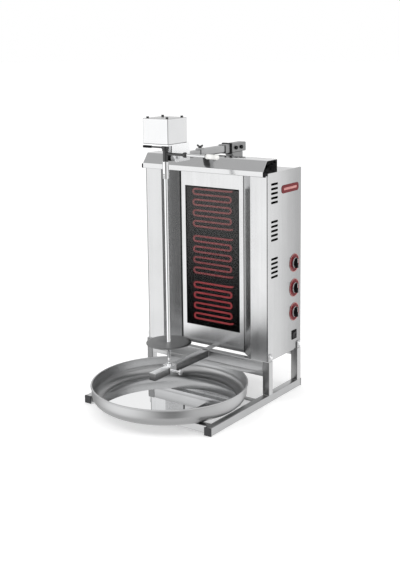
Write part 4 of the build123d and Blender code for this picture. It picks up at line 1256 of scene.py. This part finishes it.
@dataclass
class DriveHead:
    """Sliding head with the motor, the bearing housing, the lever and the folding handle."""

    half_plate: float = 39.5
    cover_span: Pair = (694.0, 758.0)
    bore: float = 5.05
    neck: float = 6.6
    collar: float = 8.2
    flange: float = 12.0
    housing_heights: tuple[float, ...] = (647.0, 674.0, 678.0, 688.0, 691.0)
    hub_bore: float = 6.65
    hub_radius: float = 9.4
    hub_span: Pair = (678.3, 686.3)
    lever_span: Pair = (-46.0, -8.0)
    lever_radius: float = 2.3
    lever_sleeve_span: Pair = (-71.0, -44.0)
    lever_sleeve_radius: float = 3.4
    arm_centre: float = 655.0
    arm_span: Pair = (117.0, 380.0)
    arm_tube: float = 16.6
    arm_wall: float = 1.8
    handle_height: float = 667.0
    stub_span: Pair = (5.6, 56.0)
    stub_radius: float = 3.5
    pivot: float = 61.0
    pivot_pin: float = 1.4
    ball: float = 7.0
    slot: float = 2.2
    root_span: Pair = (-6.6, -4.8)
    eye_radii: Pair = (1.5, 4.5)
    eye_half: float = 2.0
    tongue_start: float = 2.2
    tongue_size: Pair = (4.0, 7.2)
    rod_span: Pair = (68.2, 125.2)
    rod_radius: float = 3.6
    tang_span: Pair = (125.0, 158.0)
    tang_radius: float = 1.8
    grip_start: float = 125.4
    grip_end: float = 162.0

    def cover(self) -> None:
        """Draws the motor cover with soft folded edges."""
        size = (2 * self.half_plate, 2 * self.half_plate)
        form = extruded(box_loop((0.0, SPIT_Y), size, 1.5, 5), Run.Z, self.cover_span)
        piece("motor_cover_box", form, "drive_head", Finish.COVER, ("motor_cover",), bevel=0.8)

    def housing(self) -> None:
        """Draws the bearing housing with the handle's arm and ball."""
        foot, collar_low, collar_high, flange_low, top = self.housing_heights
        profile = [(self.bore, foot), (self.neck, foot), (self.neck, collar_low), (self.collar, collar_low),
                   (self.collar, collar_high), (self.neck, collar_high), (self.neck, flange_low),
                   (self.flange, flange_low), (self.flange, top), (self.bore, top)]
        form = turned(rounded_path(profile, 0.4, 3, closed=True), Run.Z, SPIT_AXIS, 64, wrap=True)
        form += rod(Run.X, self.stub_span, (0.0, SPIT_Y, self.handle_height), self.stub_radius)
        form += self.fork()
        piece("bearing_housing_turned", form, "drive_head", Finish.DARK, ("bearing_housing",))

    def lever(self) -> None:
        """Draws the lock lever with its hub and its black sleeve."""
        low, high = self.hub_span
        bore, rim = self.hub_bore, self.hub_radius
        profile = [(bore, low), (rim, low), (rim, high), (bore, high)]
        form = turned(rounded_path(profile, 0.6, 3, closed=True), Run.Z, SPIT_AXIS, 64, wrap=True)
        centre = (0.0, SPIT_Y, (low + high) / 2)
        form += rod(Run.X, self.lever_span, centre, self.lever_radius)
        piece("lock_lever_arm", form, "lock_lever", Finish.DARK, ("lock_lever",))
        form = rod(Run.X, self.lever_sleeve_span, centre, self.lever_sleeve_radius, 1.0)
        piece("lock_lever_sleeve", form, "lock_lever", Finish.BLACK)

    def fork(self) -> Form:
        """Draws the slotted ball of the handle's hinge as two caps and the root between them.

        Each cap is a ball's slice: radius sqrt(R^2 - h^2) at the distance h from the middle plane.

        Returns:
            The caps, the pin and the root.
        """
        h = np.linspace(self.slot, self.ball, 10)
        radius = np.sqrt(np.maximum(self.ball ** 2 - h ** 2, 1e-4))
        centre = (self.pivot, SPIT_Y, self.handle_height)
        near = np.vstack(([[0.01, self.slot]], np.stack((radius, h), axis=1)))
        form = turned(near, Run.Y, centre, 48)
        form += turned(near * (1.0, -1.0), Run.Y, centre, 48)
        form += rod(Run.Y, (-self.slot - 0.2, self.slot + 0.2), centre, self.pivot_pin)
        root = tuple(self.pivot + end for end in self.root_span)
        return form + bar(Run.X, root, (SPIT_Y, self.handle_height), (2 * self.slot + 0.6, 6.4), 1.0)

    def handle(self) -> None:
        """Draws the handle's rod with its tongue, and its grip with a dark ring."""
        centre = (0.0, SPIT_Y, self.handle_height)
        form = rod(Run.X, self.rod_span, centre, self.rod_radius)
        (hole, rim), half = self.eye_radii, self.eye_half
        eye = [(hole, -half), (rim, -half), (rim, half), (hole, half)]
        form += turned(eye, Run.Y, (self.pivot, SPIT_Y, self.handle_height), 40, wrap=True)
        tongue = (self.pivot + self.tongue_start, self.rod_span[0] + 0.4)
        form += bar(Run.X, tongue, (SPIT_Y, self.handle_height), self.tongue_size, 0.5)
        form += rod(Run.X, self.tang_span, centre, self.tang_radius)
        piece("handle_rod_shank", form, "handle", Finish.POLISHED, ("handle_rod",))
        start, end = self.grip_start, self.grip_end
        profile = [(0.01, start), (5.2, start), (6.2, 128.0), (5.9, 142.0), (6.2, 158.0), (5.0, end),
                   (0.01, end)]
        form = turned(rounded_path(profile, [0, 0.8, 3.0, 20.0, 3.0, 2.0, 0], 6), Run.X, centre, 48)
        piece("handle_grip_moulding", form, "handle", Finish.WHITE, ("handle_grip",))
        ring = [(5.4, start), (6.2, 125.6), (6.2, 127.0), (5.8, 127.2)]
        piece("handle_grip_ring", turned(ring, Run.X, centre, 48, wrap=True), "handle", Finish.CAP)

    def build(self) -> None:
        """Builds the head."""
        self.cover()
        self.housing()
        self.lever()
        self.handle()
        form = open_tube(Run.Y, self.arm_span, (self.arm_centre, 0.0), self.arm_tube, self.arm_wall, 1.2)
        piece("inner_arm_square_tube", form, "drive_head", Finish.UPPER_ARM, ("inner_arm_tube",))
        dress(Finish.BRACKET, "motor_bracket")
        dress(Finish.MOTOR, "gear_motor")
        dress(Finish.SCREW, "head_screws")


@dataclass
class Spit:
    """Turning spit with its socket and disc, and the lower bearing."""

    radius: float = 5.0
    span: Pair = (133.0, 627.0)
    tip_span: Pair = (113.4, 134.0)
    tip_radius: float = 3.5
    pin_height: float = 611.5
    pin_half: float = 8.0
    pin_radius: float = 1.5
    shaft_span: Pair = (628.0, 704.0)
    disc_radius: float = 59.0
    disc_top: float = 176.0
    collar_radius: float = 11.0
    collar_bottom: float = 158.0
    bore: float = 5.05
    screw_height: float = 100.0
    screw_span: Pair = (10.3, 35.0)
    screw_radius: float = 3.0
    screw_head_span: Pair = (34.0, 39.0)
    screw_head_radius: float = 7.0

    def build(self) -> None:
        """Builds the spit."""
        form = rod(Run.Z, self.span, SPIT_AXIS, self.radius, 0.5, 64)
        form += rod(Run.Z, self.tip_span, SPIT_AXIS, self.tip_radius)
        form += rod(Run.Y, (-self.pin_half, self.pin_half), (0.0, SPIT_Y, self.pin_height), self.pin_radius)
        piece("spit_rod_polished", form, "spit", Finish.BRIGHT, ("spit_rod",))
        form = rod(Run.Z, self.shaft_span, SPIT_AXIS, self.radius, 0.5)
        piece("drive_shaft_turned", form, "spit", Finish.BRIGHT, ("drive_shaft",))
        top, rim = self.disc_top, self.disc_radius
        profile = [(self.bore, top), (rim - 5.0, top), (rim, top - 1.25), (rim, top - 3.5),
                   (self.collar_radius, top - 2.5), (self.collar_radius, self.collar_bottom),
                   (self.bore, self.collar_bottom)]
        form = turned(rounded_path(profile, [0.2, 6.0, 0.6, 0.6, 1.0, 0.8, 0.2], 5, closed=True), Run.Z,
                      SPIT_AXIS, 128, wrap=True)
        made = piece("meat_disc_plate", form, "spit", Finish.DISC, ("meat_disc",))
        made.visible_glossy = False
        centre = (0.0, SPIT_Y, self.screw_height)
        form = rod(Run.X, self.screw_span, centre, self.screw_radius)
        form += rod(Run.X, self.screw_head_span, centre, self.screw_head_radius, 0.8)
        piece("bearing_thumb_screw", form, "bearing_screw", Finish.BRIGHT, ("bearing_screw",))
        dress(Finish.BRIGHT, "spit_socket", "lower_bearing")


@dataclass
class DripPan:
    """Spun pan with a mirror floor, a curved foot and a rolled rim."""

    radius: float = 203.6
    floor_radius: float = 175.0
    bottom: float = 20.3
    rim: float = 66.9
    sheet: float = 1.2
    bead: float = 2.4
    floor_lap: float = 0.3
    middle: float = 2.0
    around: int = 256

    def wall(self) -> Array:
        """Gives the wall's profile: up the outside, round the bead and down the inside.

        The foot is a quarter circle: radius f + F sin s, height b + F (1 - cos s), s from 0 to pi / 2.

        Returns:
            The radius and height of each point.
        """
        foot = self.radius - self.floor_radius
        s = np.linspace(0.0, math.pi / 2, 14)
        quarter = np.stack((np.sin(s), 1 - np.cos(s)), axis=1)
        outside = (self.floor_radius, self.bottom) + foot * quarter
        inside = (self.floor_radius, self.bottom + self.sheet) + (foot - self.sheet) * quarter[::-1]
        a = np.linspace(-math.pi * 0.62, math.pi, 18)
        roll = np.stack((self.radius + self.bead * np.cos(a), self.rim + self.bead * np.sin(a)), axis=1)
        return np.vstack((outside, roll, inside))

    def build(self) -> None:
        """Builds the pan."""
        form = turned(self.wall(), Run.Z, SPIT_AXIS, self.around, wrap=True)
        piece("drip_pan_wall", form, "drip_pan", Finish.PAN_WALL, ("drip_pan",), sharp=60.0)
        edge, top = self.floor_radius + self.floor_lap, self.bottom + self.sheet
        floor = [(self.middle, self.bottom), (edge, self.bottom), (edge, top), (self.middle, top)]
        piece("drip_pan_floor", turned(floor, Run.Z, SPIT_AXIS, self.around), "drip_pan", Finish.PAN_FLOOR)


def standing(right: Array, back: Array, up: Array, place: Array) -> Matrix:
    """Gives the matrix of a light or a camera, which looks the other way from back.

    Args:
        right: its x axis.
        back: its z axis.
        up: its y axis.
        place: where it stands, in metres.

    Returns:
        The matrix.
    """
    matrix = np.eye(4)
    matrix[:3] = np.stack((right, up, back, place), axis=1)
    return Matrix(matrix.tolist())


@dataclass
class Studio:
    """Pale floor, soft light and the camera at the photographed angle."""

    azimuth: float = 35.881
    pitch: float = 9.168
    roll: float = -0.718
    distance: float = 2553.5
    target: Triple = (0.78, 250.0, 530.18)
    lens: float = 60.593
    shift: float = -0.15
    far: float = 200.0
    aim_height: float = 0.35
    floor_half: float = 40.0
    floor_drop: float = 0.0005
    floor_albedo: float = 0.9
    floor_glow: float = 0.25
    sky: tuple[float, ...] = (-0.2, 0.9, 0.82, 1.0)
    lights: tuple[tuple, ...] = (("key", (-1.6, -1.6, 2.6), (1.8, 1.8), 28.0),
                                 ("side", (2.4, 0.6, 2.0), (1.4, 1.8), 14.0))
    panels: tuple[tuple[float, ...], ...] = (
        (40.0, -8.0, 8.0, 30.0, 0.2), (-36.0, -8.0, 18.0, 44.0, 1.6), (144.0, -8.0, 12.0, 40.0, 1.25),
        (-112.0, -8.0, 10.0, 34.0, 0.45), (-59.0, 50.0, 10.0, 34.0, 0.6))

    def camera(self) -> None:
        """Places the camera from its azimuth, pitch, roll and distance to the target."""
        a, p, r = (math.radians(v) for v in (self.azimuth, self.pitch, self.roll))
        back = np.array([math.sin(a) * math.cos(p), -math.cos(a) * math.cos(p), math.sin(p)])
        right = np.array([math.cos(a), math.sin(a), 0.0])
        up = np.cross(back, right)
        data = bpy.data.cameras.new("camera")
        data.lens = self.lens
        data.sensor_width = 36.0
        data.shift_y = self.shift
        data.clip_end = self.far
        made = linked("camera", data)
        place = np.asarray(self.target) * MM + ZERO + back * self.distance * MM
        made.matrix_world = standing(math.cos(r) * right + math.sin(r) * up, back,
                                     -math.sin(r) * right + math.cos(r) * up, place)
        bpy.context.scene.camera = made

    def light(self, name: str, place: Triple, size: Pair, power: float) -> None:
        """Hangs a soft rectangular light that faces the middle of the grill.

        Args:
            name: the light's name.
            place: where it hangs, in metres.
            size: its two sides, in metres.
            power: its power in watts.
        """
        data = bpy.data.lights.new(name, "AREA")
        data.shape = "RECTANGLE"
        data.size, data.size_y = size
        data.energy = power
        made = linked(name, data)
        made.visible_glossy = False
        back = np.asarray(place, float) - np.array([0.0, 0.0, self.aim_height])
        back /= np.linalg.norm(back)
        right = np.cross((0.0, 0.0, 1.0), back)
        right /= np.linalg.norm(right)
        made.matrix_world = standing(right, back, np.cross(back, right), place)

    def world(self) -> None:
        """Lights the scene from all round, with brighter and darker panels that the steel reflects.

        Each panel has an azimuth and elevation, the angles where it is full and where it ends, and
        the factor that it multiplies the light by.
        """
        world = bpy.data.worlds.new("studio")
        world.use_nodes = True
        world.node_tree.nodes.clear()
        t = NodeTree(world.node_tree)
        way = t.add("TexCoord").outputs["Generated"]
        level = t.spread(t.parts(way)[2], *self.sky)
        for azimuth, elevation, inner, outer, factor in self.panels:
            a, e = math.radians(azimuth), math.radians(elevation)
            towards = (math.sin(a) * math.cos(e), -math.cos(a) * math.cos(e), math.sin(e))
            dot = t.add("VectorMath", {0: way, 1: towards}, operation="DOT_PRODUCT").outputs[1]
            keep = t.spread(dot, math.cos(math.radians(outer)), math.cos(math.radians(inner)), 1.0,
                            factor, smooth=True)
            level = t.maths("MULTIPLY", level, keep)
        soft = t.add("Background", {0: level, 1: 1.0})
        plain = t.add("Background", {0: colour(1.0), 1: 1.0})
        seen = t.add("LightPath").outputs["Is Camera Ray"]
        both = t.add("MixShader", {0: seen, 1: soft.outputs[0], 2: plain.outputs[0]})
        t.add("OutputWorld", {0: both.outputs[0]})
        bpy.context.scene.world = world

    def floor(self) -> None:
        """Lays the plain pale floor."""
        mesh = bpy.data.meshes.new("floor")
        half, low = self.floor_half, -self.floor_drop
        corners = [(-half, -half, low), (half, -half, low), (half, half, low), (-half, half, low)]
        mesh.from_pydata(corners, [], [(0, 1, 2, 3)])
        material, t, shader = shader_of("floor")
        t.fill(shader, {"Base Color": colour(self.floor_albedo), "Roughness": 0.9,
                        "Emission Color": colour(1.0), "Emission Strength": self.floor_glow})
        mesh.materials.append(material)
        made = linked("floor", mesh)
        made.visible_glossy = False

    def build(self) -> None:
        """Builds the studio."""
        bpy.context.scene.view_settings.view_transform = "Standard"
        self.camera()
        self.world()
        self.floor()
        for light in self.lights:
            self.light(*light)


def main() -> None:
    """Builds each sub-assembly in order."""
    logging.basicConfig(level=logging.INFO, format="%(message)s")
    for part in (BaseFrame(), Cabinet(), Heating(), Controls(), Hood(), UpperArm(), DriveHead(), Spit(),
                 DripPan(), Studio()):
        part.build()
        LOG.info("built %s", type(part).__name__)


if __name__ == "__main__":
    main()
